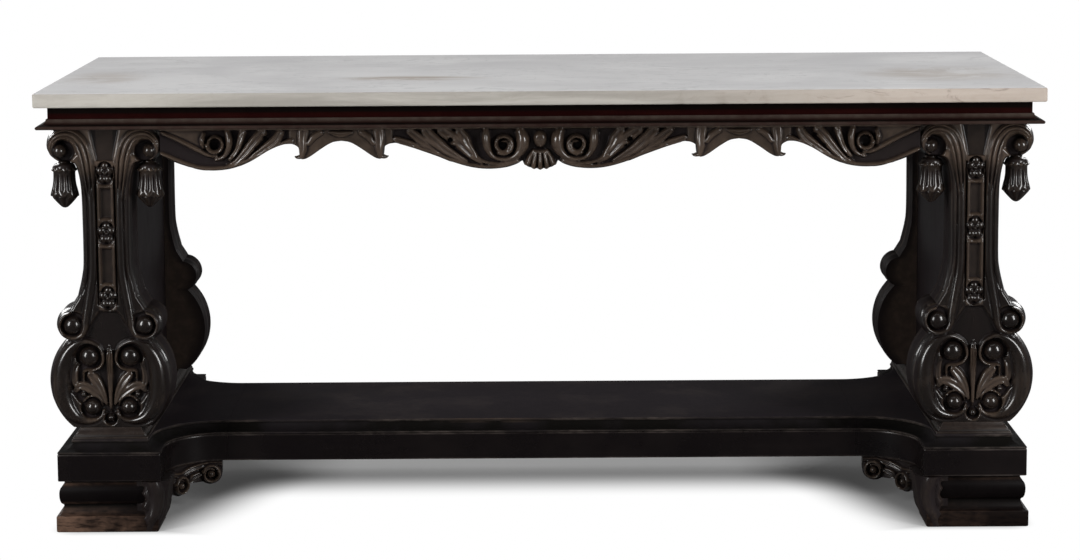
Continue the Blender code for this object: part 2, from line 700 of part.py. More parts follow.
# The two end supports
pilaster = pilaster_mesh()
husk = husk_mesh()
panel_y = PILASTER_BACK - FIT_GAP
cleat_low = SUPPORT_TOP - CLEAT_HEIGHT
husk_top = SUPPORT_TOP - SCROLL_DROP - SCROLL_RADIUS - FIT_GAP
husk_y = PILASTER_FACE - HUSK_SETBACK
for end, x in (("left", -SUPPORT_X), ("right", SUPPORT_X)):
    quarter = HALF_TURN / 2
    add(f"{end}_front_pilaster", pilaster, carved, (x, -PILASTER_MIDDLE, RISER_TOP), (quarter, 0, 0))
    add(f"{end}_back_pilaster", pilaster, carved, (x, PILASTER_MIDDLE, RISER_TOP), (quarter, 0, HALF_TURN))
    low = (x - PANEL_HALF, -panel_y, RISER_TOP + FIT_GAP)
    add_box(f"{end}_support_panel", low, (x + PANEL_HALF, panel_y, cleat_low - FIT_GAP), ebonised, 0.0015)
    low = (x - CLEAT_HALF, -panel_y, cleat_low)
    bored_box(f"{end}_top_cleat", low, (x + CLEAT_HALF, panel_y, SUPPORT_TOP), x, inner)
    half = END_BEARER_WIDTH / 2
    bored_box(f"{end}_bearer", (x - half, -end_y, bottom), (x + half, end_y, FRAME_TOP), x, inner)
    for depth, y in (("front", -1), ("back", 1)):
        add(f"{end}_{depth}_screw", screw, steel, (x, y * SCREW_OFFSET, screw_top))
        for place, offset in (("outer", SCROLL_OFFSET), ("inner", -SCROLL_OFFSET)):
            spot = (x + math.copysign(offset, x * offset), y * husk_y, husk_top)
            add(f"{end}_{depth}_{place}_husk", husk, carved, spot)
    rings = []
    for share, rise in ((0, 0), (0, 0.2), (0.35, 0.3), (0.35, 0.45), (1, 1)):
        inset = EDGE_INSET + share * RISER_INSET
        z = FIT_GAP + rise * (RISER_HEIGHT - FIT_GAP)
        rings.append(rectangle_ring(PLINTH_HALF_WIDTH - inset, PLINTH_Y - inset, z))
    add(f"{end}_riser", loft_mesh("riser", rings), ebonised, (x, 0, SHELF_TOP))

# Platform: shelf, plinth caps, plinth blocks and rails
joint = SHELF_JOINT - FIT_GAP / 2
profile = edge_profile()
section = [(inset - SHELF_HALF_DEPTH, z) for inset, z in profile]
section += [(SHELF_HALF_DEPTH - inset, z) for inset, z in reversed(profile)]
rings = [[(side * joint, y, z) for y, z in section] for side in (-1, 1)]
add("shelf_board", loft_mesh("shelf", rings), ebonised, (0, 0, BLOCK_TOP))
cap = loft_mesh("cap", [plinth_ring(inset, z) for inset, z in profile])
block = loft_mesh("block", [plinth_ring(0, FIT_GAP), plinth_ring(0, BLOCK_HEIGHT)])
for end, turn in (("left", HALF_TURN), ("right", 0)):
    add(f"{end}_plinth_cap", cap, ebonised, (0, 0, BLOCK_TOP), (0, 0, turn))
    add(f"{end}_plinth_block", block, ebonised, (0, 0, FOOT_TOP), (0, 0, turn))
rail_back = SHELF_HALF_DEPTH - PLATFORM_RAIL_THICKNESS
rail_low = FOOT_TOP + FIT_GAP
low = (-joint, -SHELF_HALF_DEPTH, rail_low)
add_box("front_platform_rail", low, (joint, -rail_back, BLOCK_TOP), ebonised)
low = (-joint, rail_back, rail_low)
add_box("back_platform_rail", low, (joint, SHELF_HALF_DEPTH, BLOCK_TOP), ebonised)

# Feet under the four corners of the plinths, and a bracket under each cove
foot = foot_mesh()
foot_y = PLINTH_Y - FOOT_DEPTH / 2
right_bracket = bracket_mesh(1)
left_bracket = bracket_mesh(-1)
foot_x = SUPPORT_X + FOOT_INNER_INSET / 2
for end, x in (("left", -foot_x), ("right", foot_x)):
    add(f"{end}_front_foot", foot, ebonised, (x, -foot_y, 0))
    add(f"{end}_back_foot", foot, ebonised, (x, foot_y, 0))
add("right_front_bracket", right_bracket, carved)
add("left_front_bracket", left_bracket, carved)
add("left_back_bracket", right_bracket, carved, (0, 0, 0), (0, 0, HALF_TURN))
add("right_back_bracket", left_bracket, carved, (0, 0, 0), (0, 0, HALF_TURN))
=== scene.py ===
"""Looks of an ebonised centre table with a marble slab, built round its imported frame.

Metres, +Z up, +X along the table. A carved face is a height field on a grid, a moulding is a profile
carried round a plan, and what stands at the front is turned half a turn for the back.
"""

import math

import bpy
import numpy as np
from mathutils import Euler, Matrix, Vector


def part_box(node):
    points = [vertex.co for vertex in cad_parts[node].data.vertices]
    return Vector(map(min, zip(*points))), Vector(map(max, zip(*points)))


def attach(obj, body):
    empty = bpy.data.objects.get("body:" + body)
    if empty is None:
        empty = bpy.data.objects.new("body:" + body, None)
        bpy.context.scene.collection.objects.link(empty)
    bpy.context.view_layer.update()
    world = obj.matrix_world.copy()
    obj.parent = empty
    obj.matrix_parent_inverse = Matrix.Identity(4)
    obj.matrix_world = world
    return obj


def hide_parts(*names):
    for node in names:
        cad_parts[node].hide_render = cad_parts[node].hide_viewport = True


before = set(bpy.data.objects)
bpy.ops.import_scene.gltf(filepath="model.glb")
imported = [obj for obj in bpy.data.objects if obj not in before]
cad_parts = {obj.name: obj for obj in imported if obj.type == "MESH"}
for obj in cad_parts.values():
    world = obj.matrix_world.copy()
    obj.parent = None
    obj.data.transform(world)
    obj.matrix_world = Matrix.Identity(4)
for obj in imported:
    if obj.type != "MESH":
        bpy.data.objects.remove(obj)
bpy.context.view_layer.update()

# Levels above the floor and places in plan, as the frame has them
FIT_GAP = 0.0003
FOOT_TOP = 0.0945
BLOCK_TOP = 0.145
SHELF_TOP = 0.168
RISER_TOP = 0.188
SUPPORT_TOP = 0.747
TABLE_TOP = 0.814
SUPPORT_X = 0.797
FRIEZE_X = 0.892
FRIEZE_Y = 0.357
PILASTER_FACE = 0.320
PILASTER_BACK = 0.220
APRON_FACE = 0.335
APRON_BACK = 0.305
APRON_END = 0.6935
PLINTH_HALF = 0.0945
PLINTH_Y = 0.360
PLINTH_INNER = SUPPORT_X - PLINTH_HALF
SHELF_HALF_DEPTH = 0.197
COVE_RADIUS = 0.100
COVE_X = PLINTH_INNER - COVE_RADIUS
COVE_Y = SHELF_HALF_DEPTH + COVE_RADIUS
SHELF_JOINT = 0.5965

# Carving of a pilaster, measured from its axis and from the top of the riser
PILASTER_HEIGHT = SUPPORT_TOP - RISER_TOP
WAIST_HALF = 0.0415
WAIST_BOTTOM = 0.312
WAIST_TOP = 0.412
SCROLL = (0.0725, 0.526)
SCROLL_RADIUS = 0.0307
EAR = (0.0655, 0.192)
EAR_RADIUS = 0.028
BOSS_RISE = 0.084
BOSS_RADIUS = 0.109
ROSETTE_RISES = (0.2415, 0.362, 0.473)
ROSETTE_NICHE = (0.0170, 0.0236)
PANEL_END = 0.0240
PANEL_HALF = 0.0127
GROUND = -0.007
DEEP_GROUND = -0.010

# Carving of an apron, measured from its middle and down from its top, and the husks
ARCH_X = 0.3627
INNER_EYE = (0.0667, 0.0361)
OUTER_EYE = (0.5925, 0.0325)
APRON_GROUND = -0.009
APRON_BORDER = 0.0058
HUSK_LENGTH = 0.0885
HUSK_RADIUS = 0.0245
HUSK_SHIFT = 0.006

# Brackets under the coves, by the angle round a cove, and the feet
BRACKET_ANGLES = (20.0, 87.0)
BRACKET_FACE = 0.103
BRACKET_BACK = 0.131
BRACKET_GROUND = -0.004
VOLUTES = ((39.0, 0.0400), (75.0, 0.0252))
VOLUTE_RADIUS = 0.0205
FOOT_INNER = 0.7115
FOOT_FRONT = 0.360
FOOT_PROUD = 0.004
FOOT_WEAR = {"left": 0.86, "right": 0.22}

# Shading: a face as large as this is flat, and an edge bent by more degrees is sharp
FLAT_FACE = 0.006
CARVED_EDGE = 60
MOULDED_EDGE = 40


# Numpy shapes


def mm(*rows):
    """Rows of millimetres, as metres."""
    return np.round(np.array(rows) / 1000, 7)


def smooth_step(x):
    """0 below 0, 1 above 1, and 3x^2 - 2x^3 between."""
    x = np.clip(x, 0, 1)
    return x * x * (3 - 2 * x)


def bell(x, centre, width):
    """Bell curve: 1 at a centre, falling off over a width."""
    return np.exp(-(((x - centre) / width) ** 2))


def smooth_path(knots, per=10):
    """Catmull-Rom curve through knots; each column is a place or a size that is carried along."""
    p = np.asarray(knots, float)
    p = np.vstack([2 * p[0] - p[1], p, 2 * p[-1] - p[-2]])
    t = np.linspace(0, 1, per, endpoint=False)[None, :, None]
    a, b, c, d = (p[i : len(p) - 3 + i, None, :] for i in range(4))
    run = 2 * b + (c - a) * t + (2 * a - 5 * b + 4 * c - d) * t**2 + (3 * b - a - 3 * c + d) * t**3
    return np.vstack([run.reshape(-1, p.shape[1]) / 2, p[-2]])


def arc(centre, radius, start, end, count):
    """Points of a circle from one angle to another, in degrees."""
    turn = np.radians(np.linspace(start, end, count))
    return np.stack([centre[0] + radius * np.cos(turn), centre[1] + radius * np.sin(turn)], axis=1)


def resampled(path, count):
    """The same path with evenly spaced points."""
    run = np.concatenate([[0], np.cumsum(np.hypot(*np.diff(path[:, :2], axis=0).T))])
    even = np.linspace(0, run[-1], count)
    return np.stack([np.interp(even, run, column) for column in path.T], axis=1)


def outward(path):
    """Unit normals on the left-hand side of a path's direction, from central differences."""
    step = np.gradient(path, axis=0)
    normal = np.stack([-step[:, 1], step[:, 0]], axis=1)
    return normal / np.maximum(np.linalg.norm(normal, axis=1, keepdims=True), 1e-9)


def tube(grid):
    """Faces of a grid whose rows are closed rings: a quad between neighbours, and a cap at either end."""
    rows, columns = grid.shape[:2]
    down = np.arange(rows - 1)[:, None] * columns
    ring = np.arange(columns)
    right = (ring + 1) % columns
    corners = [down + ring, down + right, down + columns + right, down + columns + ring]
    sides = np.stack(corners, axis=-1).reshape(-1, 4)
    return sides.tolist() + [ring[::-1].tolist(), ((rows - 1) * columns + ring).tolist()]


def outside_out(points, faces):
    """The faces, all turned round if the closed shell they make has a volume below zero."""
    fans = [(f[0], f[i], f[i + 1]) for f in faces for i in range(1, len(f) - 1)]
    a, b, c = (points[k] for k in np.array(fans).T)
    if np.einsum("ij,ij->", a, np.cross(b, c)) < 0:
        return [f[::-1] for f in faces]
    return faces


def make_piece(name, points, finish, replaced, marks, sharp=MOULDED_EDGE):
    """A finished piece: closed rings in place, smooth but for sharp edges, caps and large flat faces."""
    faces = tube(points)
    points = points.reshape(-1, 3)
    mesh = bpy.data.meshes.new(name)
    mesh.from_pydata(points.tolist(), [], outside_out(points, faces))
    for mark, values in marks.items():
        layer = mesh.attributes.new(mark, "FLOAT", "POINT")
        layer.data.foreach_set("value", np.asarray(values, np.float32).ravel())
    mesh.materials.append(finish)
    mesh.shade_smooth()
    mesh.set_sharp_from_angle(angle=math.radians(sharp))
    area = np.empty(len(faces))
    mesh.polygons.foreach_get("area", area)
    corners = np.empty(len(faces), int)
    mesh.polygons.foreach_get("loop_total", corners)
    mesh.polygons.foreach_set("use_smooth", (area < FLAT_FACE) & (corners == 4))
    piece = bpy.data.objects.new(name, mesh)
    bpy.context.scene.collection.objects.link(piece)
    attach(piece, "root")
    if replaced:
        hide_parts(*replaced)


def turned(points):
    """The points after half a turn about the table's upright axis."""
    return points * np.array([-1, -1, 1])


def make_pair(sides, kind, node, shape, finish, sharp=MOULDED_EDGE):
    """A piece on one side of the table and, turned, on the other; each replaces its own side's node."""
    points, marks = shape
    for side, place in zip(sides, (points, turned(points))):
        make_piece(f"{side}_{kind}", place, finish, [f"{side}_{node}"], marks, sharp)


# Carving


def roll(x):
    """Half-round section."""
    return np.sqrt(np.clip(1 - x * x, 0, 1))


def blade(x):
    """Round section with a wide, soft hollow along its middle."""
    return roll(x) * (1 - 0.42 * np.exp(-((x / 0.42) ** 2)))


def reeds(x):
    """Flat section with eased edges, cut into three rounded ribs side by side."""
    return smooth_step((1 - np.abs(x)) * 2.2) * (0.45 + 0.55 * np.abs(np.cos(1.5 * math.pi * x)))


def nearest(path, u, v):
    """Signed distance from points to a path, above zero on its left, and the path's other columns there."""
    start = path[:-1]
    step = np.diff(path, axis=0)
    du = u[:, None] - start[:, 0]
    dv = v[:, None] - start[:, 1]
    share = (du * step[:, 0] + dv * step[:, 1]) / np.maximum(step[:, 0] ** 2 + step[:, 1] ** 2, 1e-12)
    share = np.clip(share, 0, 1)
    gap = np.hypot(du - share * step[:, 0], dv - share * step[:, 1])
    k = gap.argmin(axis=1)
    rows = np.arange(len(u))
    side = np.sign(step[k, 0] * dv[rows, k] - step[k, 1] * du[rows, k])
    return gap[rows, k] * side, start[k, 2:] + share[rows, k][:, None] * step[k, 2:]


class Carving:
    """A height field over the points of a face that is alike on both sides of its axis."""

    def __init__(self, u, v):
        self.shape = u.shape
        self.u = np.abs(u).ravel()
        self.v = v.ravel()
        self.h = np.zeros(self.u.size)
        self.balls = np.zeros(self.u.size)

    def close_to(self, path, reach):
        """Numbers of the points within reach of a path's box."""
        low = path[:, :2].min(axis=0) - reach
        high = path[:, :2].max(axis=0) + reach
        inside = (self.u > low[0]) & (self.u < high[0]) & (self.v > low[1]) & (self.v < high[1])
        return np.flatnonzero(inside)

    def sink(self, distance, depth, slope=0.003):
        """Lower the region where a signed distance is negative, down a slope from its border."""
        floor = -depth * smooth_step(-distance / slope)
        self.h = np.where(distance < 0, np.minimum(self.h, floor), self.h)

    def disc(self, centre, radius):
        """Signed distance to a circle."""
        return np.hypot(self.u - centre[0], self.v - centre[1]) - radius

    def bar(self, half_width, low, high):
        """Signed distance, near enough, to an upright bar on the axis."""
        return np.maximum(self.u - half_width, np.maximum(low - self.v, self.v - high))

    def band(self, knots, ground=GROUND, section=roll, trench=0.0015):
        """Raise a moulding along knots of place, half-width and rise, with a trench cut beside it."""
        path = smooth_path(knots)
        ditch = 0.0025
        spots = self.close_to(path, path[:, 2].max() + ditch)
        side, sizes = nearest(path, self.u[spots], self.v[spots])
        half, rise = sizes.T
        gap = np.abs(side)
        beside = smooth_step(1 - (gap - half) / ditch) * (gap >= half)
        h = self.h[spots] - trench * beside
        lift = np.where(gap < half, ground + rise * section(side / half), -1)
        self.h[spots] = np.maximum(h, lift)

    def groove(self, knots):
        """Cut a round groove along knots of place, half-width and depth."""
        path = smooth_path(knots)
        spots = self.close_to(path, path[:, 2].max())
        side, sizes = nearest(path, self.u[spots], self.v[spots])
        half, depth = sizes.T
        self.h[spots] -= depth * roll(side / half)

    def dome(self, centre, radius, rise, ground=GROUND, trench=0.0015):
        """Raise a ball's cap at a place, with a trench round it."""
        gap = np.hypot(self.u - centre[0], self.v - centre[1])
        beside = smooth_step(1 - (gap - radius) / 0.003) * (gap >= radius)
        lift = np.where(gap < radius, ground + rise * roll(gap / radius), -1)
        self.h = np.maximum(self.h - trench * beside, lift)
        self.balls[gap < radius] = 1

    def ease(self, outline, radius):
        """Round the face over towards its outline."""
        gap = np.abs(nearest(outline, self.u, self.v)[0])
        self.h -= radius * (1 - roll(1 - np.minimum(gap / radius, 1)))

    def grid(self):
        """The heights in the shape of the grid, each eased with its neighbours by weights 1, 2, 1."""
        h = np.pad(self.h.reshape(self.shape), 1, mode="edge")
        h = (h[:-2] + 2 * h[1:-1] + h[2:]) / 4
        return (h[:, :-2] + 2 * h[:, 1:-1] + h[:, 2:]) / 4


def weathering(h, spread=14, scale=0.0022):
    """How far each place lies in a hollow or stands proud, from the heights less their local mean."""
    mean = h.copy()
    for _ in range(spread):
        wide = np.pad(mean, 1, mode="edge")
        mean = (wide[2:, 1:-1] + wide[:-2, 1:-1] + wide[1:-1, 2:] + wide[1:-1, :-2]) / 4
    return np.clip((mean - h) / scale, 0, 1), np.clip((h - mean) / scale, 0, 1)


def pilaster_outline(count):
    """Right-hand edge of a pilaster from its top down: scroll, waist, ear and boss, evenly spaced."""
    top = PILASTER_HEIGHT - FIT_GAP
    scroll = arc(SCROLL, SCROLL_RADIUS, 62, -105, 40)
    neck = (WAIST_HALF, WAIST_TOP)
    throat = smooth_path([scroll[-1], (0.0530, 0.4900), (0.0462, 0.4700), (0.0425, 0.4420), neck])
    waist = smooth_path([neck, (WAIST_HALF, WAIST_BOTTOM), (0.0450, 0.2790), (0.0535, 0.2430)])
    ear = arc(EAR, EAR_RADIUS, 85, -62, 40)
    rise = ear[-1][1] - BOSS_RISE - 0.003
    start = math.degrees(math.asin(rise / BOSS_RADIUS))
    end = math.degrees(math.asin((FIT_GAP - BOSS_RISE) / BOSS_RADIUS))
    boss = arc((0, BOSS_RISE), BOSS_RADIUS, start, end, 60)
    path = np.vstack([[(0.0795, top)], scroll, throat[1:], waist[1:], ear, boss])
    return resampled(path, count)


def carve_waist(c):
    """Middle strip with rosettes and sunk panels, between two long rolls that end in an ear below."""
    c.sink(c.disc(SCROLL, 0.0300), 0.004)
    c.sink(c.disc((0.0765, 0.5125), 0.0225), 0.014)
    c.sink(c.disc(EAR, 0.0255), 0.007)
    head = 0.0168 + 0.210 * np.clip(c.v - 0.497, 0, 1)
    c.sink(np.maximum(c.u - head, 0.4945 - c.v), 0.006, 0.003)
    flare = 0.0168 + 0.66 * np.clip(0.2190 - c.v, 0, 1)
    c.sink(np.maximum(c.u - flare, np.maximum(c.v - 0.2180, 0.1400 - c.v)), 0.006, 0.004)
    edge = mm((48, 250, 1, 0.5), (43.5, 268, 3.2, 4), (39.2, 290, 4, 5), (37.2, 320, 4.2, 5),
              (37.2, 412, 4.2, 5), (38, 440, 4.2, 5), (41.2, 465, 3.8, 5), (46.5, 485, 3, 4))
    c.band(edge, -0.004, roll, 0.001)
    side = mm((70.7, 214.1, 2.8, 9), (83.5, 207.5, 3.6, 10), (90.3, 190.5, 4, 11), (83.5, 173.5, 4.4, 11),
              (66.5, 166.7, 4.8, 11), (51.2, 172.1, 5.6, 10), (44, 185, 6.6, 10), (41.2, 203, 7.4, 9),
              (37.6, 224, 8, 8), (31.8, 256, 8, 7), (26.8, 290, 7.8, 7), (25.6, 340, 7.6, 7),
              (25.6, 412, 7.6, 7), (26.2, 442, 7.8, 6))
    c.band(side, -0.003)
    over = mm((25.6, 390, 6, 1), (25.8, 420, 7.8, 5.6), (27.6, 448, 10.4, 8.5), (30, 474, 12.8, 10),
              (33.4, 501, 14.5, 11.5), (40.5, 525, 15, 12.5), (53, 541.5, 14, 13), (68, 547, 11.6, 13),
              (83, 544, 9.8, 13), (94.5, 533, 8.2, 12), (98.5, 517, 6.6, 11), (95, 503.5, 5, 9),
              (86.5, 497.5, 3.8, 7))
    c.band(over, -0.003, reeds, 0)
    c.dome((0.0825, 0.5145), 0.0134, 0.019, DEEP_GROUND)
    c.dome((0.0668, 0.1905), 0.0178, 0.018)
    c.groove(mm(*((17, rise, 1.8, 6) for rise in (230, 300, 370, 430, 485))))
    for low, high in zip(ROSETTE_RISES, ROSETTE_RISES[1:]):
        low += PANEL_END
        high -= PANEL_END
        c.sink(c.bar(0.0106, low + 0.003, high - 0.003), 0.006, 0.0025)
        c.band([(PANEL_HALF, rise, 0.0023, 0.003) for rise in (low, high)], 0, roll, 0)
        for rise in (low, high):
            c.band([(u, rise, 0.0026, 0.003) for u in (0.0, PANEL_HALF)], 0, roll, 0)


def carve_rosettes(c):
    """Each rosette is a dark oval niche with five round petals about a bead."""
    wide, high = ROSETTE_NICHE
    for rise in ROSETTE_RISES:
        q = np.hypot(c.u / wide, (c.v - rise) / high)
        c.h = np.where(q < 1, -0.011 * smooth_step((1 - q) * 7), c.h)
        for turn in np.radians((90, 18, -54)):
            spot = (0.57 * wide * math.cos(turn), rise + 0.57 * high * math.sin(turn))
            c.dome(spot, 0.0086, 0.0105, DEEP_GROUND, 0)
        c.dome((0, rise), 0.0046, 0.0120, DEEP_GROUND)


def carve_boss(c):
    """Round boss: two C-scrolls with balls in their eyes, round a field with a palmette. Gives the field."""
    field = np.hypot(c.u / 0.0740, (c.v - 0.0840) / 0.0605) - 1
    c.sink(field * 0.06, 0.010)
    c.sink(c.disc((0.0380, 0.1340), 0.0255), 0.010)
    c.sink(c.disc((0.0335, 0.0370), 0.0225), 0.010)
    scroll = mm((48.7, 86.7, 2, 8), (49.2, 98, 2.4, 10), (47.4, 105, 2.7, 12), (38.8, 106.6, 2.9, 12),
                (29.6, 107.1, 3.1, 12), (19.4, 111.7, 3.3, 12), (12.4, 122.4, 3.4, 12),
                (13.1, 136.7, 3.6, 12), (20.9, 152, 4, 13), (40.8, 161, 5.6, 15), (59, 156.5, 9.2, 17),
                (74.5, 142, 13.8, 19), (85.3, 119.5, 17, 20), (89.2, 90.5, 18.4, 21), (88, 61, 18.2, 21),
                (79, 37, 15.5, 19), (64.5, 19.5, 11.8, 17), (47.5, 12, 8.5, 15), (31, 12, 5.8, 13),
                (18.5, 18.5, 4.2, 11), (12.8, 31, 3, 9))
    c.band(scroll, DEEP_GROUND)
    rim = mm((57.5, 119, 3, 8), (63, 108, 5.6, 11), (65.5, 96, 7, 12), (65, 84, 7, 12), (60, 73, 5, 10))
    c.band(rim, DEEP_GROUND, blade)
    curl = mm((50, 48, 2.4, 9), (42, 56, 2.8, 9), (30, 57.5, 2.8, 9), (19, 51, 2.4, 8), (15, 40, 2, 6))
    c.band(curl, DEEP_GROUND)
    c.dome((0.0380, 0.1325), 0.0188, 0.021, DEEP_GROUND)
    c.dome((0.0337, 0.0370), 0.0150, 0.019, DEEP_GROUND)
    far = mm((11, 47, 4, 9), (20.5, 58, 6.6, 11), (32, 68, 9.2, 13), (45, 75.5, 10, 13), (57, 76.5, 8.8, 12),
             (64, 69, 6, 9))
    c.band(far, DEEP_GROUND, blade)
    c.dome((0.0500, 0.0615), 0.0060, 0.011, DEEP_GROUND)
    near = mm((7.7, 43, 3.4, 9), (12.2, 59.2, 6, 12), (18.9, 74.5, 8.6, 14), (27, 87.7, 10.4, 14),
              (35.2, 97.5, 8.8, 11))
    c.band(near, DEEP_GROUND, blade)
    stem = mm((0, 37, 3.6, 10), (0, 70, 5, 13), (0, 110, 7, 14), (0, 132, 8, 13), (0, 142, 6, 10))
    c.band(stem, DEEP_GROUND, reeds)
    c.sink(c.disc((0, 0.0160), 0.0125), 0.012, 0.002)
    c.dome((0, 0.0172), 0.0080, 0.016, -0.012)
    return np.clip(-field * 6, 0, 1)


def bolster(depth):
    """How far a pilaster's side is cut in at a share of its depth: beads at its edges, a hollow between."""
    knots = [(0.00, 0.0016), (0.04, 0.0004), (0.10, 0.0004), (0.15, 0.0030), (0.19, 0.0048), (0.23, 0.0040)]
    knots += [(0.28, 0.0012), (0.38, 0.0000), (0.50, 0.0010), (0.60, 0.0036), (0.72, 0.0052), (0.82, 0.0036)]
    knots += [(0.88, 0.0008), (0.94, 0.0000), (0.98, 0.0006), (1.00, 0.0022)]
    return np.interp(depth, *np.array(knots).T)


def carved_pilaster(rows=430, columns=181, walls=16, back=9):
    """Closed rings from top to base. A ring is the carved face, a side, the plain back and the other side.

    Row s starts from the outline point (U, V) and falls in with the axis at C, so that a point at share t is
    u = t U, v = C + (V - C)|t|^3, standing out from the face by the carved height.
    """
    outline = pilaster_outline(rows)
    edge_u, edge_v = outline.T
    middle = np.minimum.accumulate(edge_v)
    middle = 0.96 * middle + 0.04 * np.linspace(edge_v[0], edge_v[-1], rows)
    t = np.linspace(-1, 1, columns)[None, :]
    u = t * edge_u[:, None]
    v = middle[:, None] + (edge_v - middle)[:, None] * np.abs(t) ** 3
    c = Carving(u, v)
    carve_waist(c)
    field = carve_boss(c).reshape(u.shape)
    carve_rosettes(c)
    c.ease(outline, 0.0045)
    h = c.grid()
    # Grime in the deep places and along the edges, bloom on the raised ones but not on the balls
    hollow, worn = weathering(h)
    hollow = np.maximum(hollow, np.maximum(smooth_step((-h - 0.0065) / 0.004), 0.2 * (h < -0.005)))
    hollow = np.maximum(hollow, 0.7 * smooth_step((np.abs(t) - 0.93) / 0.05))
    strip = 0.45 * (np.abs(u) < 0.0155) * (v > 0.22)
    raised = smooth_step((h + 0.006) / 0.004)
    # Near the top, which the cornice shades, the raised carving is painted pale as painted light; on the
    # boss field the pale is bloom
    pale = np.maximum(0.62 * field, smooth_step((v - 0.455) / 0.05)) * raised
    pale = np.maximum(pale, strip * (0.5 + 0.5 * raised))
    off_balls = 1 - 0.85 * c.balls.reshape(u.shape)
    pale = pale * off_balls
    worn = worn * off_balls
    # Face, sides and back
    face = np.stack([u, -PILASTER_FACE - h, v], axis=-1)
    normal = outward(outline)
    normal[[0, -1], 1] = 0
    share = np.linspace(0, 1, walls + 1)[None, 1:]
    cut = bolster(share)
    wall_u = edge_u[:, None] + normal[:, :1] * cut
    wall_v = edge_v[:, None] + normal[:, 1:] * cut
    wall_y = -PILASTER_FACE - h[:, -1:] * (1 - share) ** 2 + share * (PILASTER_FACE - PILASTER_BACK)
    wall = np.stack([wall_u, wall_y, wall_v], axis=-1)
    s = np.linspace(1, -1, back)[None, 1:-1]
    rear = np.stack(np.broadcast_arrays(s * wall_u[:, -1:], -PILASTER_BACK, wall_v[:, -1:]), axis=-1)
    rear[..., 2] = middle[:, None] + (wall_v[:, -1:] - middle[:, None]) * np.abs(s) ** 3
    mirror = wall[:, ::-1] * np.array([-1, 1, 1])
    points = np.concatenate([face, wall, rear, mirror], axis=1) + np.array([0, 0, RISER_TOP])
    groove = np.maximum(cut / 0.0056 * 0.5, smooth_step((share - 0.12) / 0.10))
    groove, bead = (np.broadcast_to(level, wall_u.shape) for level in (groove, 0.6 * (cut < 0.0006)))
    # The plain back lies in shade; it is painted pale, with half the grime, as painted light
    bare = np.zeros((rows, back - 2))
    flank = np.zeros(wall_u.shape)
    hollow = np.concatenate([hollow, groove, bare + 0.5, groove[:, ::-1]], axis=1)
    worn = np.concatenate([worn, bead, bare, bead[:, ::-1]], axis=1)
    pale = np.concatenate([pale, flank, bare + 0.8, flank], axis=1)
    return points, {"hollow": hollow, "worn": worn, "pale": pale}


def apron_edge(count):
    """Right half of the apron's lower edge from the middle out: shell, belly, cusp, arch, cusp and belly."""
    shell = mm((0, 82.2), (5.5, 80.8), (11.2, 81.2), (16.2, 78.6), (20.8, 78.4), (25.2, 74.2), (29, 72.6),
               (32.5, 66))
    belly = mm((32.5, 66), (44, 73), (64, 78.8), (94, 81.2), (125, 78), (160, 68), (190, 56), (230, 41.5),
               (254, 34.5), (269, 32.5), (279, 35.2), (285.2, 40.5), (286.4, 47.5), (287.2, 54))
    arch = mm((287.2, 54), (289.5, 59.2), (296, 60.5), (307.2, 55), (328.3, 40.5), (346, 30.5),
              (1000 * ARCH_X, 27.5))
    rest = arch[::-1] * np.array([-1, 1]) + np.array([2 * ARCH_X, 0])
    outer = mm((438.2, 54), (439, 47.5), (440.2, 40.5), (446.4, 35.2), (456.4, 32.5), (471.4, 34.5),
               (495, 44), (530, 65), (564, 77.8), (601, 81.2), (635, 76), (666, 66), (1000 * APRON_END, 52))
    runs = [smooth_path(knots) for knots in (shell, belly, arch, rest, outer)]
    path = np.vstack([runs[0]] + [run[1:] for run in runs[1:]])
    return resampled(path, count)


def volute(centre, outer, inner, turns, half, rise, start):
    """Knots of a flat spiral from an outer to an inner radius, thinner and lower towards its eye."""
    share = np.linspace(0, 1, int(12 * turns) + 1)
    turn = np.radians(start + 360 * turns * share)
    radius = outer + (inner - outer) * share**2.4
    along = centre[0] + radius * np.cos(turn)
    down = centre[1] + radius * np.sin(turn)
    return np.stack([along, down, half * (1 - 0.4 * share), rise * (1 - 0.25 * share)], axis=1)


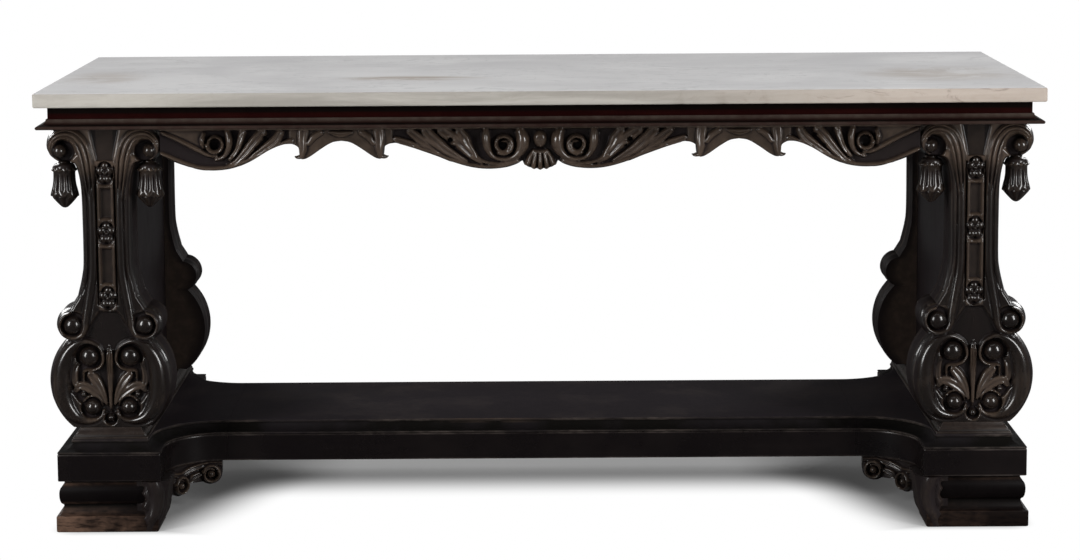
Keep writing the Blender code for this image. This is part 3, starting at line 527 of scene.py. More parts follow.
def carve_apron(c):
    """Shell and oval boss in the middle, volutes either side, and leaves that sweep to the cusps."""
    ground = APRON_GROUND
    leafy = (c.u < 0.268) | (c.u > 0.458)
    plain = (c.u > 0.612) & (c.v < 0.0400 - 0.4875 * (c.u - 0.618))
    floor = np.where(leafy, np.where(plain, -0.003, ground), -0.004)
    c.h = floor * smooth_step((c.v - APRON_BORDER) / 0.002)
    # Leaves from the tips under the cornice down to the belly, the farthest from its volute first
    sweeps = [
        [(262, 25.5, 6, 9), (235, 35.5, 8, 11), (205, 48, 8, 11), (165, 64.5, 5, 8)],
        [(236, 11, 8, 11), (216, 26.5, 10, 14), (190, 43, 9, 13), (152, 63, 5, 9)],
        [(208, 9.5, 10, 12), (192, 26.5, 11, 16), (170, 46, 9, 15), (136, 66.5, 5, 10)],
        [(178, 9.5, 11, 13), (160, 21.5, 12, 17), (142, 37, 11, 17), (126, 54, 8, 14), (106, 68, 5, 10)],
        [(147, 9.5, 9, 13), (137, 23.8, 9, 18), (130, 39, 7, 16), (118, 55, 4, 12)],
        [(455, 27.3, 6, 9), (475, 37.3, 7, 11), (505, 54, 7, 11), (537, 70, 4, 8)],
        [(474, 12, 8, 12), (483, 26.5, 10, 15), (502, 41.5, 9, 15), (524, 56, 6, 12), (548, 70, 4, 8)],
        [(507, 11, 10, 14), (519, 25.3, 10, 19), (535, 45.3, 9, 18), (553, 64, 6, 14), (570, 73, 4, 10)],
        [(542, 10, 7, 14), (546, 25.3, 6, 18), (553, 43.3, 5, 16), (566, 60, 4, 11)],
    ]
    for knots in sweeps:
        c.band(mm(*knots), ground, blade, 0.002)
    for u, v, radius in mm((164, 27.5, 6), (156, 40, 4.2), (501, 21.5, 5.5), (518, 41, 4.2)):
        c.sink(c.disc((u, v), radius), 0.014)
    # Reeds along the belly and towards the end, and one under the volute
    reed_runs = [
        [(40, 66.5, 3, 10), (64, 74.5, 3.4, 11), (94, 76.8, 3.6, 11), (125, 73.8, 3.6, 11),
         (160, 64, 3.4, 10), (190, 52, 3, 10), (230, 37.8, 2.6, 8)],
        [(498, 41.5, 2.6, 8), (530, 60, 3.4, 10), (564, 73.2, 4, 11), (601, 76.8, 4.2, 11),
         (635, 71.5, 4.2, 11), (690, 49, 3.6, 10)],
        [(124, 56, 2.6, 10), (100, 68, 3, 11), (83, 70.5, 3, 12), (66, 70, 3, 12), (49, 66, 3, 11),
         (39, 60, 2.6, 10)],
    ]
    for knots in reed_runs:
        c.band(mm(*knots), ground)
    # Volutes: an open C, wide where it turns, round a ring with a dark eye
    inner = mm((98.5, 9, 6.2, 14), (98.5, 21.5, 8, 18), (97.2, 35, 8, 18), (92.5, 49, 6.2, 14),
               (82.5, 59.5, 4.6, 12), (67, 63.5, 4.2, 12), (51.5, 60, 5.2, 13), (39.5, 51, 9, 16),
               (32.5, 37.5, 11.8, 19), (32, 24, 12.2, 19), (36, 11, 9, 14))
    c.band(inner, ground, roll, 0.003)
    c.sink(c.disc(INNER_EYE, 0.0225), 0.013)
    c.band(volute(INNER_EYE, 0.0160, 0.0066, 1.6, 0.0048, 0.019, 60), ground, roll, 0.002)
    c.sink(c.disc(INNER_EYE, 0.0036), 0.014)
    outer = mm((570, 9, 5.6, 14), (566.5, 26, 6.6, 18), (569, 42, 5.6, 16), (577, 54.5, 4.2, 13),
               (591, 60, 3.6, 11))
    c.band(outer, ground, roll, 0.003)
    c.band(mm((613, 13, 3.6, 13), (615.8, 25, 5, 18), (613, 37, 3.6, 13)), ground)
    stalk = mm((688, 11, 4, 9), (664, 21.5, 4.6, 10), (640, 33.5, 5, 11), (620, 44, 5.2, 12),
               (604, 51.5, 4.6, 12), (590, 53, 3.6, 11))
    c.band(stalk, ground, roll, 0.003)
    c.sink(c.disc(OUTER_EYE, 0.0200), 0.013)
    c.band(volute(OUTER_EYE, 0.0142, 0.0128, 1.1, 0.0044, 0.019, 0), ground, roll, 0.002)
    c.sink(c.disc(OUTER_EYE, 0.0080), 0.014)
    # Cusps: a veined leaf and a wing on each, and a small tip over the arch
    for x, way in ((292.5, -1), (432.9, 1)):
        rib = mm((x - 2 * way, 9, 10, 6), (x, 26, 9, 9), (x, 42, 7.5, 10), (x + 3 * way, 57, 5, 9))
        c.band(rib, -0.004, blade, 0.001)
        wing = mm((x - 32 * way, 12, 6, 5), (x - 20 * way, 20, 6, 6), (x - 11 * way, 32, 4, 5))
        c.band(wing, -0.004, roll, 0.001)
    c.band(mm((344, 12, 3, 6), (1000 * ARCH_X, 15, 6, 8), (381, 12, 3, 6)), -0.005, blade)
    # Shell of five flutes, and the oval boss over it with a dark gap between
    for x in (22.5, 11.5, 0):
        flute = mm((0.55 * x, 48, 3.6, 11), (0.80 * x, 58, 4.6, 14), (x, 70, 5.6, 15),
                   (1.12 * x, 80 - 0.016 * x * x, 5.4, 12))
        c.band(flute, ground, roll, 0.003)
    c.sink(np.hypot(c.u / 0.0160, (c.v - 0.0250) / 0.0190) * 0.016 - 0.016, 0.012, 0.003)
    c.sink(np.maximum(c.u - 0.0095, np.abs(c.v - 0.0445) - 0.0030), 0.014, 0.002)
    gap = np.hypot(c.u / 0.0125, (c.v - 0.0250) / 0.0162)
    boss = -0.010 + 0.021 * roll(gap) * (1 - 0.30 * np.exp(-((gap / 0.45) ** 2)))
    c.h = np.where(gap < 1, np.maximum(c.h, boss), c.h)
    c.h[c.v < APRON_BORDER] = 0.0015


def cusp_hook(count=20, around=18):
    """Curled tip beside a cusp: an oval section, as wide as the board, that shrinks along a curved path."""
    path = smooth_path(mm((432.5, 54.5, 5.8), (438.5, 57.2, 4.2), (444, 58, 2.8), (448.5, 56.6, 0.6)))
    along, down, thin = resampled(path, count).T[:, :, None]
    normal = outward(np.hstack([along, down]))
    turn = np.linspace(0, 2 * math.pi, around, endpoint=False)[None, :]
    wide = (APRON_FACE - APRON_BACK) / 2 * (thin / thin.max()) ** 0.5
    x = along + normal[:, :1] * thin * np.cos(turn)
    z = SUPPORT_TOP - down - normal[:, 1:] * thin * np.cos(turn)
    y = -(APRON_FACE + APRON_BACK) / 2 + wide * np.sin(turn)
    points = np.stack([x, y, z], axis=-1)
    return points, {"pale": np.full(points.shape[:2], 0.7)}


def carved_apron(half_columns=520, rows=56):
    """Closed rings along the board. A ring runs up the carved face, over the top and down the plain back.

    Column s rises from the edge point (x, d) to the top at X, where X never turns back, in a straight line.
    """
    half = apron_edge(half_columns)
    edge = np.vstack([half[::-1] * np.array([-1, 1]), half[1:]])
    reach = np.maximum.accumulate(np.abs(half[:, 0]))
    reach = 0.96 * reach + 0.04 * np.linspace(0, reach[-1], half_columns)
    top_x = np.concatenate([-reach[::-1], reach[1:]])
    t = np.linspace(0, 1, rows)[None, :]
    u = edge[:, :1] + (top_x - edge[:, 0])[:, None] * t
    d = edge[:, 1:] * (1 - t) + FIT_GAP * t
    c = Carving(u, d)
    carve_apron(c)
    c.ease(half, 0.0030)
    h = c.grid()
    hollow, worn = weathering(h)
    hollow = np.maximum(hollow, smooth_step((-h - 0.0050) / 0.004))
    pale = 0.15 + 0.65 * smooth_step((h + 0.009) / 0.008)
    face = np.stack([u, -APRON_FACE - h, SUPPORT_TOP - d], axis=-1)
    normal = outward(edge)
    depth = np.array([0.25, 0.7, 0.95, 1.0])[None, ::-1]
    under = np.array([0.0, 0.0, 0.0004, 0.0015])[None, ::-1]
    wall_y = -APRON_FACE - h[:, :1] * (1 - depth) + depth * (APRON_FACE - APRON_BACK)
    wall_x = edge[:, :1] + normal[:, :1] * under * np.sign(normal[:, 1:])
    wall_d = edge[:, 1:] - under * np.abs(normal[:, 1:])
    wall = np.stack([wall_x, wall_y, SUPPORT_TOP - wall_d], axis=-1)
    back_top = np.stack(np.broadcast_arrays(top_x, -APRON_BACK, SUPPORT_TOP - FIT_GAP), axis=-1)
    points = np.concatenate([face, back_top[:, None], wall], axis=1)
    bare = np.zeros((len(edge), 5))
    marks = {"hollow": hollow, "worn": worn, "pale": pale}
    return points, {kind: np.hstack([level, bare]) for kind, level in marks.items()}


def husk_surface(rows=90, columns=96):
    """Hanging husk from its collar down: a turned profile with a ring of beads, flutes and a skirt of tips.

    At share p of its length and angle a, the radius is the profile, raised by |cos 7a| at the bead ring, cut
    by flutes of |sin 6a| below it and raised by |cos 4a| at the skirt, where the tips also hang lower. Below
    the skirt |cos 4a| makes scales.
    """
    knots = [(0.00, 0.34), (0.02, 0.44), (0.04, 0.46), (0.06, 0.52), (0.09, 0.74), (0.13, 0.84)]
    knots += [(0.18, 0.86), (0.24, 0.82), (0.42, 0.84), (0.54, 0.90), (0.62, 0.98), (0.68, 1.02)]
    knots += [(0.72, 0.98), (0.75, 0.90), (0.80, 0.78), (0.87, 0.58), (0.94, 0.36)]
    knots += [(0.985, 0.18), (1.00, 0.02)]
    profile = resampled(smooth_path(knots, 14), rows)
    p = profile[:, :1]
    r = profile[:, 1:]
    a = np.linspace(0, 2 * math.pi, columns, endpoint=False)[None, :]
    bead = bell(p, 0.200, 0.026) * np.abs(np.cos(7 * a)) ** 0.8
    below = smooth_step((p - 0.28) / 0.06) * smooth_step((0.66 - p) / 0.06)
    flutes = below * (1 - np.abs(np.sin(6 * a))) ** 1.5
    tips = bell(p, 0.70, 0.045) * np.abs(np.cos(4 * a)) ** 1.5
    scales = smooth_step((p - 0.73) / 0.03) * (np.abs(np.cos(4 * a + 0.8)) - 0.5)
    r = r * (1 + 0.20 * bead - 0.16 * flutes + 0.12 * tips + 0.26 * scales) - 0.06 * bell(p, 0.70, 0.05)
    z = -p - 0.045 * tips
    points = np.stack([HUSK_RADIUS * r * np.cos(a), HUSK_RADIUS * r * np.sin(a), HUSK_LENGTH * z], axis=-1)
    points[..., 2] = np.maximum(points[..., 2], -HUSK_LENGTH)
    deep = flutes + 0.7 * bell(p, 0.115, 0.03) + 0.6 * bell(p, 0.77, 0.03) - scales
    bright = np.clip(0.8 * bead + 0.3 * tips, 0, 1)
    return points, {"hollow": np.clip(deep, 0, 1), "worn": bright, "pale": np.full(points.shape[:2], 0.10)}


def carved_bracket(columns=150, rows=56):
    """Closed rings round the cove. A ring runs down the carved face to the lower edge and up the plain back.

    At angle a the lower edge hangs as far as the web, or as the circles of the two volutes where they reach
    lower, and the face stands at its radius less the carved height.
    """
    a = np.linspace(*BRACKET_ANGLES, columns)
    s = COVE_RADIUS * np.radians(a)
    edge = np.interp(a, (20, 39, 60, 70, 76, 87), (0.036, 0.040, 0.0405, 0.0400, 0.0300, 0.0240))
    for centre, hang in VOLUTES:
        along = (s - COVE_RADIUS * math.radians(centre)) / VOLUTE_RADIUS
        edge = np.where(np.abs(along) < 1, np.maximum(edge, hang + VOLUTE_RADIUS * roll(along)), edge)
    t = np.linspace(0, 1, rows)[None, :]
    d = edge[:, None] * t
    c = Carving(np.broadcast_to(s[:, None], d.shape), d)
    ground = BRACKET_GROUND
    c.h += ground * smooth_step((c.v - 0.002) / 0.002)
    # A strap along the cove, two leaves under it, and the volutes
    places = [COVE_RADIUS * math.radians(angle) for angle in (86, 74, 62, 50, 40, 30, 22)]
    drops = (0.006, 0.006, 0.009, 0.014, 0.019, 0.017, 0.012)
    halves = (0.004, 0.005, 0.006, 0.006, 0.005, 0.005, 0.004)
    c.band([(*knot, 0.010) for knot in zip(places, drops, halves)], ground, blade)
    inner_leaf = [(places[2] + 0.004, 0.024, 0.005, 0.007), (places[3] + 0.008, 0.030, 0.007, 0.008)]
    c.band(inner_leaf + [(places[3], 0.037, 0.004, 0.006)], ground, blade)
    outer_leaf = [(places[5], 0.026, 0.004, 0.007), (places[5] - 0.010, 0.029, 0.006, 0.008)]
    c.band(outer_leaf + [(places[6], 0.031, 0.005, 0.006)], ground, blade)
    for centre, hang in VOLUTES:
        eye = (COVE_RADIUS * math.radians(centre), hang)
        c.band(volute(eye, 0.0160, 0.0095, 1.3, 0.0044, 0.013, 200), ground, roll, 0.002)
        c.dome(eye, 0.0078, 0.013, ground)
    h = c.grid()
    hollow, worn = weathering(h, 10, 0.0018)
    ring = np.array([BRACKET_FACE + 0.008, BRACKET_BACK - 0.006, BRACKET_BACK, BRACKET_BACK])
    drop = np.stack([edge, edge, edge - 0.0015, 0 * edge], axis=1)
    radius = np.hstack([BRACKET_FACE - h, np.broadcast_to(ring, drop.shape)])
    z = FOOT_TOP - np.hstack([d, drop])
    turn = np.radians(a)[:, None]
    points = np.stack([COVE_X + radius * np.cos(turn), radius * np.sin(turn) - COVE_Y, z], axis=-1)
    bare = np.zeros(drop.shape)
    marks = {"hollow": np.maximum(hollow, 0.35), "worn": worn, "pale": np.full(h.shape, 0.04)}
    return points, {kind: np.hstack([level, bare]) for kind, level in marks.items()}


def foot_leaf(across=84, up=48):
    """Leaf round the inner front corner of a foot, standing off its plan and leaning out to the plinth.

    At place s along the plan and height z it stands out by a front and a flank profile, blended past the
    corner, with ribs as |cos| of s and a scalloped free edge.
    """
    corner = 0.010
    turn = arc((FOOT_INNER + corner, -FOOT_FRONT + corner), corner, 270, 180, 9)
    plan = np.vstack([[(FOOT_INNER + 0.036, -FOOT_FRONT)], turn, [(FOOT_INNER, -FOOT_FRONT + 0.096)]])
    plan = resampled(plan, across)
    normal = outward(plan)
    s = np.linspace(0, 1, across)[:, None]
    z = np.linspace(0.002, FOOT_TOP - 0.0008, up)[None, :]
    lean = (0.003, 0.0075, 0.0100, 0.0115, 0.0135, 0.0165, 0.0195)
    flank = np.interp(z, (0, 0.02, 0.035, 0.05, 0.065, 0.08, FOOT_TOP), lean)
    front = np.interp(z, (0, 0.03, 0.06, FOOT_TOP), (0.0042, 0.0040, 0.0026, 0.0008))
    past = smooth_step((s - 0.18) / 0.22)
    ribs = np.abs(np.cos(math.pi * (6 * s + 0.7 * np.sin(9 + 34 * z))))
    scallop = 0.05 + 0.045 * np.abs(np.sin(math.pi * z / 0.024))
    free = smooth_step((s - scallop) / 0.07)
    proud = (front * (1 - past) + flank * past + 0.0064 * ribs * smooth_step(z / 0.030)) * free
    proud = proud - 0.006 * (1 - free)
    outer = plan[:, None, :] + normal[:, None, :] * proud[..., None]
    inner = np.broadcast_to(plan[:, None, :] - normal[:, None, :] * 0.012, outer.shape)[:, ::-1]
    flat = np.concatenate([outer, inner], axis=1)
    height = np.broadcast_to(np.concatenate([z, z[:, ::-1]], axis=1), flat.shape[:2])
    points = np.concatenate([flat, height[..., None]], axis=-1)
    bare = np.zeros(inner.shape[:2])
    hollow = np.hstack([np.clip(1.3 - 0.6 * ribs, 0, 1), bare])
    worn = np.hstack([np.clip(ribs * 2 - 1.2, 0, 1) * 0.25, bare])
    return points, {"hollow": hollow, "worn": worn, "pale": np.full(hollow.shape, 0.02)}


# Mouldings


def rectangle(half_x, half_y, centre, corner=0.0025, steps=5):
    """Plan of a rectangle with eased corners, as a function of the inset."""

    def plan(inset):
        """Corner arcs keep their radius, and the sides move in by the inset."""
        spots = []
        turn = 0
        for sx, sy in ((1, 1), (-1, 1), (-1, -1), (1, -1)):
            middle = (centre[0] + sx * (half_x - inset - corner), centre[1] + sy * (half_y - inset - corner))
            spots.append(arc(middle, corner, turn, turn + 90, steps))
            turn += 90
        return np.vstack(spots)

    return plan


def coved_plan(inset, corner=0.0025):
    """Plan of the right-hand plinth: the joint to the shelf, a cove, a flank and eased front corners."""
    outer = SUPPORT_X + PLINTH_HALF - inset
    inner = PLINTH_INNER + inset
    front = PLINTH_Y - inset
    half = [[(SHELF_JOINT + FIT_GAP / 2, SHELF_HALF_DEPTH - inset)]]
    half.append(arc((COVE_X, COVE_Y), COVE_RADIUS + inset, -90, 0, 28))
    half.append(arc((inner + corner, front - corner), corner, 180, 90, 5))
    half.append(arc((outer - corner, front - corner), corner, 90, 0, 5))
    half = np.vstack(half)
    return np.vstack([half, half[::-1] * np.array([1, -1])])


def filled(profile, count):
    """The columns of a profile, with 0 where a knot leaves its wear out."""
    return np.array([(knot + (0,) * count)[:count] for knot in profile]).T


def stack(plan, profile):
    """Rings of a plan at each inset and height of a profile, with the profile's wear on every ring."""
    inset, *levels = filled(profile, 4)
    flat = np.stack([plan(step) for step in inset])
    z, worn, hollow = (np.broadcast_to(level[:, None], flat.shape[:2]) for level in levels)
    return np.concatenate([flat, z[..., None]], axis=-1), {"worn": worn, "hollow": hollow}


# A knot of a profile has its inset and height, then how worn and how deep in grime it is. On eased edges the
# worn colour is partly a painted highlight; below the shelf's lip the grime is painted shade


def shelf_edge():
    """Moulded edge of shelf and plinth cap from bottom to top: bead, hollow, step and lip."""
    low = BLOCK_TOP + FIT_GAP
    cove = BLOCK_TOP + 0.0042
    knots = [(0.0015, low, 0.2), (0.0004, low + 0.0010, 0.8), (0.0, low + 0.0020, 1)]
    knots += [(0.0004, low + 0.0036, 0.8), (0.0016, cove, 0.3)]
    for turn in np.radians(np.linspace(0, 90, 12))[1:]:
        knots.append((0.002 + 0.0225 * np.sin(turn), cove + 0.0132 * (1 - np.cos(turn)), 0, 0.25))
    knots += [(0.0238, BLOCK_TOP + 0.0178, 0.2, 0.5), (0.0232, BLOCK_TOP + 0.0186, 0.8)]
    knots += [(0.0231, SHELF_TOP - 0.0016, 1), (0.0236, SHELF_TOP - 0.0006, 1)]
    return knots + [(0.0250, SHELF_TOP, 0.3)]


def block_profile():
    """Plinth block: plain face with eased edges."""
    low = FOOT_TOP + FIT_GAP
    high = BLOCK_TOP
    knots = [(0.0014, low, 0.3), (0.0004, low + 0.0004, 1), (0, low + 0.0014, 0.8), (0, low + 0.003)]
    knots += [(0, high - 0.003), (0, high - 0.0014, 0.8), (0.0004, high - 0.0004, 1), (0.0014, high, 0.3)]
    return knots


def riser_profile():
    """Riser under a support: plain foot, small hollow and a long slope up to the pilasters."""
    knots = [(0.0250, 0.0003, 0.2, 0.5), (0.0250, 0.0030, 0.5), (0.0256, 0.0040, 0.9)]
    knots += [(0.0290, 0.0048, 0.2, 0.6), (0.0298, 0.0062, 0, 0.7), (0.0300, 0.0080, 0.3)]
    knots += [(0.0306, 0.0092, 0.8), (0.0340, 0.0125, 0.2), (0.0368, 0.0165, 0.1)]
    knots += [(0.0380, 0.0190, 0.6), (0.0388, 0.0200, 0.3)]
    return [(inset, SHELF_TOP + z, *wear) for inset, z, *wear in knots]


def foot_profile():
    """Foot from the floor up: slab, hollow, fat roll and a sloping shoulder under the plinth."""
    knots = [(-0.0020, 0.0, 0.5), (-0.0036, 0.0012, 1), (-0.0040, 0.0030, 1), (-0.0040, 0.0150, 0.7)]
    knots += [(-0.0040, 0.0275, 0.8), (-0.0034, 0.0296, 1), (-0.0010, 0.0306, 0.4)]
    knots += [(0.0030, 0.0330, 0.3), (0.0060, 0.0375, 0.3), (0.0080, 0.0425, 0.2, 0.2)]
    knots += [(0.0088, 0.0475, 0, 0.8), (0.0080, 0.0502, 0, 0.8)]
    knots += [(0.0058, 0.0518, 0.1), (0.0044, 0.0532, 0.2)]
    knots += [(0.0026, 0.0575), (0.0014, 0.0640), (0.0012, 0.0710), (0.0018, 0.0765), (0.0032, 0.0806)]
    knots += [(0.0066, 0.0850, 0.1), (0.0094, 0.0888, 0.9), (0.0102, 0.0908, 0.4, 0.3)]
    return knots + [(0.0100, 0.0930, 0, 0.8), (0.0104, FOOT_TOP, 0, 0.6)]


def cornice_profile():
    """Cornice from the frieze out: underside, rounded lip, hollow and a narrow fillet against the frieze.

    A knot has its projection and height, then how worn, how deep and how pale it is. The underside, the
    joint with the frieze, the top of the lip and the lower hollow are painted dark as shade; the upper
    hollow and the fillet are painted pale as a highlight.
    """
    low = SUPPORT_TOP + FIT_GAP
    knots = [(FIT_GAP, low), (0.0105, low), (0.0120, low + 0.0004, 0, 0.5, 0)]
    for turn in np.radians(np.linspace(-80, 80, 11)):
        lip = (0.0168 + 0.0032 * math.cos(turn), low + 0.0034 + 0.0032 * math.sin(turn))
        knots.append((*lip, 0, 0, 0.55))
    knots += [(0.0158, low + 0.0068, 0, 1, 0), (0.0142, low + 0.0078, 0, 1, 0)]
    for turn in np.radians(np.linspace(20, 90, 9)):
        rise = math.sin(turn)
        hollow = (0.0142 - 0.0112 * rise, low + 0.0168 - 0.0088 * math.cos(turn))
        # Down the hollow, painted shade below and a painted highlight above
        knots.append((*hollow, 0, 1 - rise, 0.95 * rise**3))
    knots += [(0.0028, low + 0.0182, 0.2, 0, 1), (0.0018, low + 0.0187, 0, 0.5, 0), (FIT_GAP, low + 0.0187)]
    return knots


def cornice_strip(half_length, frieze):
    """A strip along -Y with mitred ends: each point of the profile lies further along by its projection."""
    out, z, *wear = filled(cornice_profile(), 5)
    run = np.linspace(-1, 1, 41)[:, None]
    x = run * (half_length + out - FIT_GAP / 2)
    points = np.stack(np.broadcast_arrays(x, -frieze - out, z), axis=-1)
    marks = {kind: np.broadcast_to(level, x.shape) for kind, level in zip(("worn", "hollow", "pale"), wear)}
    return points, marks


def straight_board(front, back, profile, count=61):
    """A board between the plinths: its edge profile at the front and, mirrored, at the back."""
    inset, *levels = filled(profile, 4)
    y = np.concatenate([front + inset, (back - inset)[::-1]])
    half_length = SHELF_JOINT - FIT_GAP / 2
    x = np.linspace(-half_length, half_length, count)[:, None]
    both = [np.concatenate([level, level[::-1]]) for level in levels]
    x, y, z, worn, hollow = np.broadcast_arrays(x, y, *both)
    return np.stack([x, y, z], axis=-1), {"worn": worn, "hollow": hollow}


def slab_rings(ease=0.0035):
    """Marble slab: a section with eased edges carried along the length and drawn in round the ends.

    Small chips are bitten from the lower arris where a sum of sines along the slab is high.
    """
    low, high = (np.array(corner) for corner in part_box("marble_top"))
    half = (high - low) / 2
    middle = (high + low) / 2
    turn = np.radians(np.linspace(0, 90, 7))
    ends = half[0] - ease * (1 - np.sin(turn))
    fade = np.maximum(ease * np.cos(turn), 0.0002)
    between = np.linspace(-ends[0], ends[0], 215)[1:-1]
    along = np.concatenate([-ends[::-1], between, ends])
    radius = np.concatenate([fade[::-1], np.full(len(between), ease), fade])[:, None]
    angle = np.radians(np.concatenate([np.linspace(start, start + 90, 7) for start in (0, 90, 180, 270)]))
    side = np.repeat([1, -1, -1, 1], 7)
    y = middle[1] + side * (half[1] - ease) + radius * np.cos(angle)
    z = middle[2] + np.repeat([1, 1, -1, -1], 7) * (half[2] - ease) + radius * np.sin(angle)
    step = np.arange(len(along))[:, None] + 57 * (side > 0)
    chips = np.sin(0.63 * step) + np.sin(1.41 * step + 1.3) + 1.3 * np.sin(0.036 * step + 2.2)
    bite = smooth_step((chips - 2.0) / 1.0) * smooth_step((low[2] + 0.006 - z) / 0.005)
    y = y - side * 0.0016 * bite
    points = np.stack(np.broadcast_arrays(middle[0] + along[:, None], y, z), axis=-1)
    return points, {"worn": (z < high[2] - 0.001) * 1.0, "hollow": bite}


# Finishes


def paint(colour):
    """A colour with its alpha, or the wire that carries one."""
    return colour if isinstance(colour, Wire) else (*colour, 1.0)


class Wire:
    """An output socket of a material; arithmetic on it adds Math nodes."""

    def __init__(self, tree, socket=None):
        self.tree = tree
        self.socket = socket

    def node(self, kind, settings=None, sockets=None, output=0):
        """Add a node: its settings first, then the values or links of its sockets. Gives one output."""
        made = self.tree.nodes.new("ShaderNode" + kind)
        for key, value in (settings or {}).items():
            setattr(made, key, value)
        for key, value in (sockets or {}).items():
            if isinstance(value, Wire):
                self.tree.links.new(value.socket, made.inputs[key])
            else:
                made.inputs[key].default_value = value
        return Wire(self.tree, made.outputs[output] if made.outputs else None)

    def maths(self, operation, a, b=0.0):
        """A Math node on two values."""
        return self.node("Math", {"operation": operation}, {0: a, 1: b})

    def __add__(self, other):
        return self.maths("ADD", self, other)

    def __sub__(self, other):
        return self.maths("SUBTRACT", self, other)

    def __rsub__(self, other):
        return self.maths("SUBTRACT", other, self)

    def __mul__(self, other):
        return self.maths("MULTIPLY", self, other)

    __radd__ = __add__
    __rmul__ = __mul__

    def __abs__(self):
        return self.maths("ABSOLUTE", self)

    def larger(self, other):
        """The larger of two values."""
        return self.maths("MAXIMUM", self, other)

    def clamp(self):
        """The value held between 0 and 1."""
        return self.node("Clamp", None, {"Value": self})

    def step(self, low, high):
        """0 below low, 1 above high, eased between."""
        settings = {"interpolation_type": "SMOOTHSTEP"}
        return self.node("MapRange", settings, {"Value": self, "From Min": low, "From Max": high})

    def mix(self, a, b):
        """Colour a where this value is 0, colour b where it is 1."""
        return self.node("Mix", {"data_type": "RGBA"}, {0: self, 6: paint(a), 7: paint(b)}, 2)

    def blend(self, a, b):
        """Shader a where this value is 0, shader b where it is 1."""
        return self.node("MixShader", None, {0: self, 1: a, 2: b})

    def vector(self, operation, other=(0.0, 0.0, 0.0), output=0):
        """A Vector Math node on this vector and another."""
        return self.node("VectorMath", {"operation": operation}, {0: self, 1: other}, output)

    def length(self):
        """How long this vector is."""
        return self.vector("LENGTH", output="Value")

    def axis(self, letter):
        """One coordinate of this vector."""
        return self.node("SeparateXYZ", None, {"Vector": self}, letter)

    def bump(self, strength, distance):
        """Normals that this height gives."""
        return self.node("Bump", None, {"Strength": strength, "Distance": distance, "Height": self})


def new_finish(name):
    """An empty material, with the wire that its nodes start from and the place on the object."""
    material = bpy.data.materials.new(name)
    material.use_nodes = True
    material.node_tree.nodes.clear()
    wire = Wire(material.node_tree)
    place = wire.node("TexCoord", output="Object")
    return material, wire, place


def surface(wire, **sockets):
    """Principled surface of a material; a socket name has _ for a space."""
    values = {key.replace("_", " "): value for key, value in sockets.items()}
    shader = wire.node("BsdfPrincipled", None, values)
    wire.node("OutputMaterial", None, {"Surface": shader})


def noise(place, scale, detail=4.0, roughness=0.55, stretch=(1, 1, 1), distortion=0.0):
    """Fractal noise over the object, stretched along its axes."""
    spot = place.node("Mapping", None, {"Vector": place, "Scale": stretch})
    sockets = {"Vector": spot, "Scale": scale, "Detail": detail, "Roughness": roughness}
    return place.node("TexNoise", None, {**sockets, "Distortion": distortion})


def mark(wire, name):
    """A value that the piece's own mesh carries."""
    return wire.node("Attribute", {"attribute_name": name}, output="Fac")


# Colours of the wood: grime in the hollows, rubbed edges and a pale bloom on raised carving. On some pieces
# the grime is also painted shade, the rubbed colour a painted highlight on eased edges, and the bloom
# painted light
GRIME_AND_SHADE = (0.0030, 0.0024, 0.0020)
RUBBED_AND_HIGHLIGHT = (0.072, 0.058, 0.051)
BLOOM = (0.056, 0.039, 0.029)
POLISH_ROUGHNESS = 0.19
ALONG_X = (0.06, 1, 1)
UPRIGHT = (1, 1, 0.10)


def dark_wood(name, deep, warm, gloss, rough, grain, wear=1.0, dust_and_shade=GRIME_AND_SHADE, rubbed_and_highlight=RUBBED_AND_HIGHLIGHT, bloom_and_light=BLOOM,
              polish=0, shadow_heights=None):
    """Blackened wood: brown shows in patches and along fibres, hollows are dull, and edges are rubbed. Where
    a piece's marks put them, the grime colour also paints shade, the rubbed colour a highlight and the pale
    colour light.

    Between two heights, if they are given, it darkens upwards to the colour of the grime: a painted shadow.
    """
    material, wire, place = new_finish(name)
    fibres = noise(place, 90, 3, 0.6, grain)
    patches = noise(place, 7, 5, 0.62)
    specks = noise(place, 240, 3, 0.55, [math.sqrt(share) for share in grain])
    blotches = patches.step(0.35, 0.65)
    flecks = noise(place, 55, 3).step(0.38, 0.66)
    pale = mark(wire, "pale") * (0.55 + 0.30 * blotches + 0.35 * flecks)
    brown = (patches.step(0.42, 0.74) * 0.75 + fibres.step(0.50, 0.80) * 0.35).clamp()
    dirt_and_shade = (mark(wire, "hollow") * (0.65 + 0.6 * blotches)).clamp()
    scuff_and_highlight = mark(wire, "worn") * (0.25 + patches.step(0.44, 0.66)) * (0.4 + specks.step(0.30, 0.62)) * wear
    colour = brown.mix(deep, warm)
    colour = pale.clamp().mix(colour, bloom_and_light)
    colour = dirt_and_shade.mix(colour, dust_and_shade)
    colour = scuff_and_highlight.clamp().mix(colour, rubbed_and_highlight)
    if shadow_heights:
        colour = (0.9 * place.axis("Z").step(*shadow_heights)).mix(colour, dust_and_shade)
    roughness = (rough + 0.10 * patches.step(0.3, 0.8) + 0.30 * dirt_and_shade + 0.06 * fibres - 0.05).clamp()
    height = 0.5 * fibres + 0.35 * specks + 0.6 * patches
    coat = polish * (1.0 - dirt_and_shade) if polish else 0.0
    surface(wire, Base_Color=colour, Roughness=roughness, Normal=height.bump(0.08, 0.0012),
            Specular_IOR_Level=gloss, Coat_Weight=coat, Coat_Roughness=POLISH_ROUGHNESS)
    return material


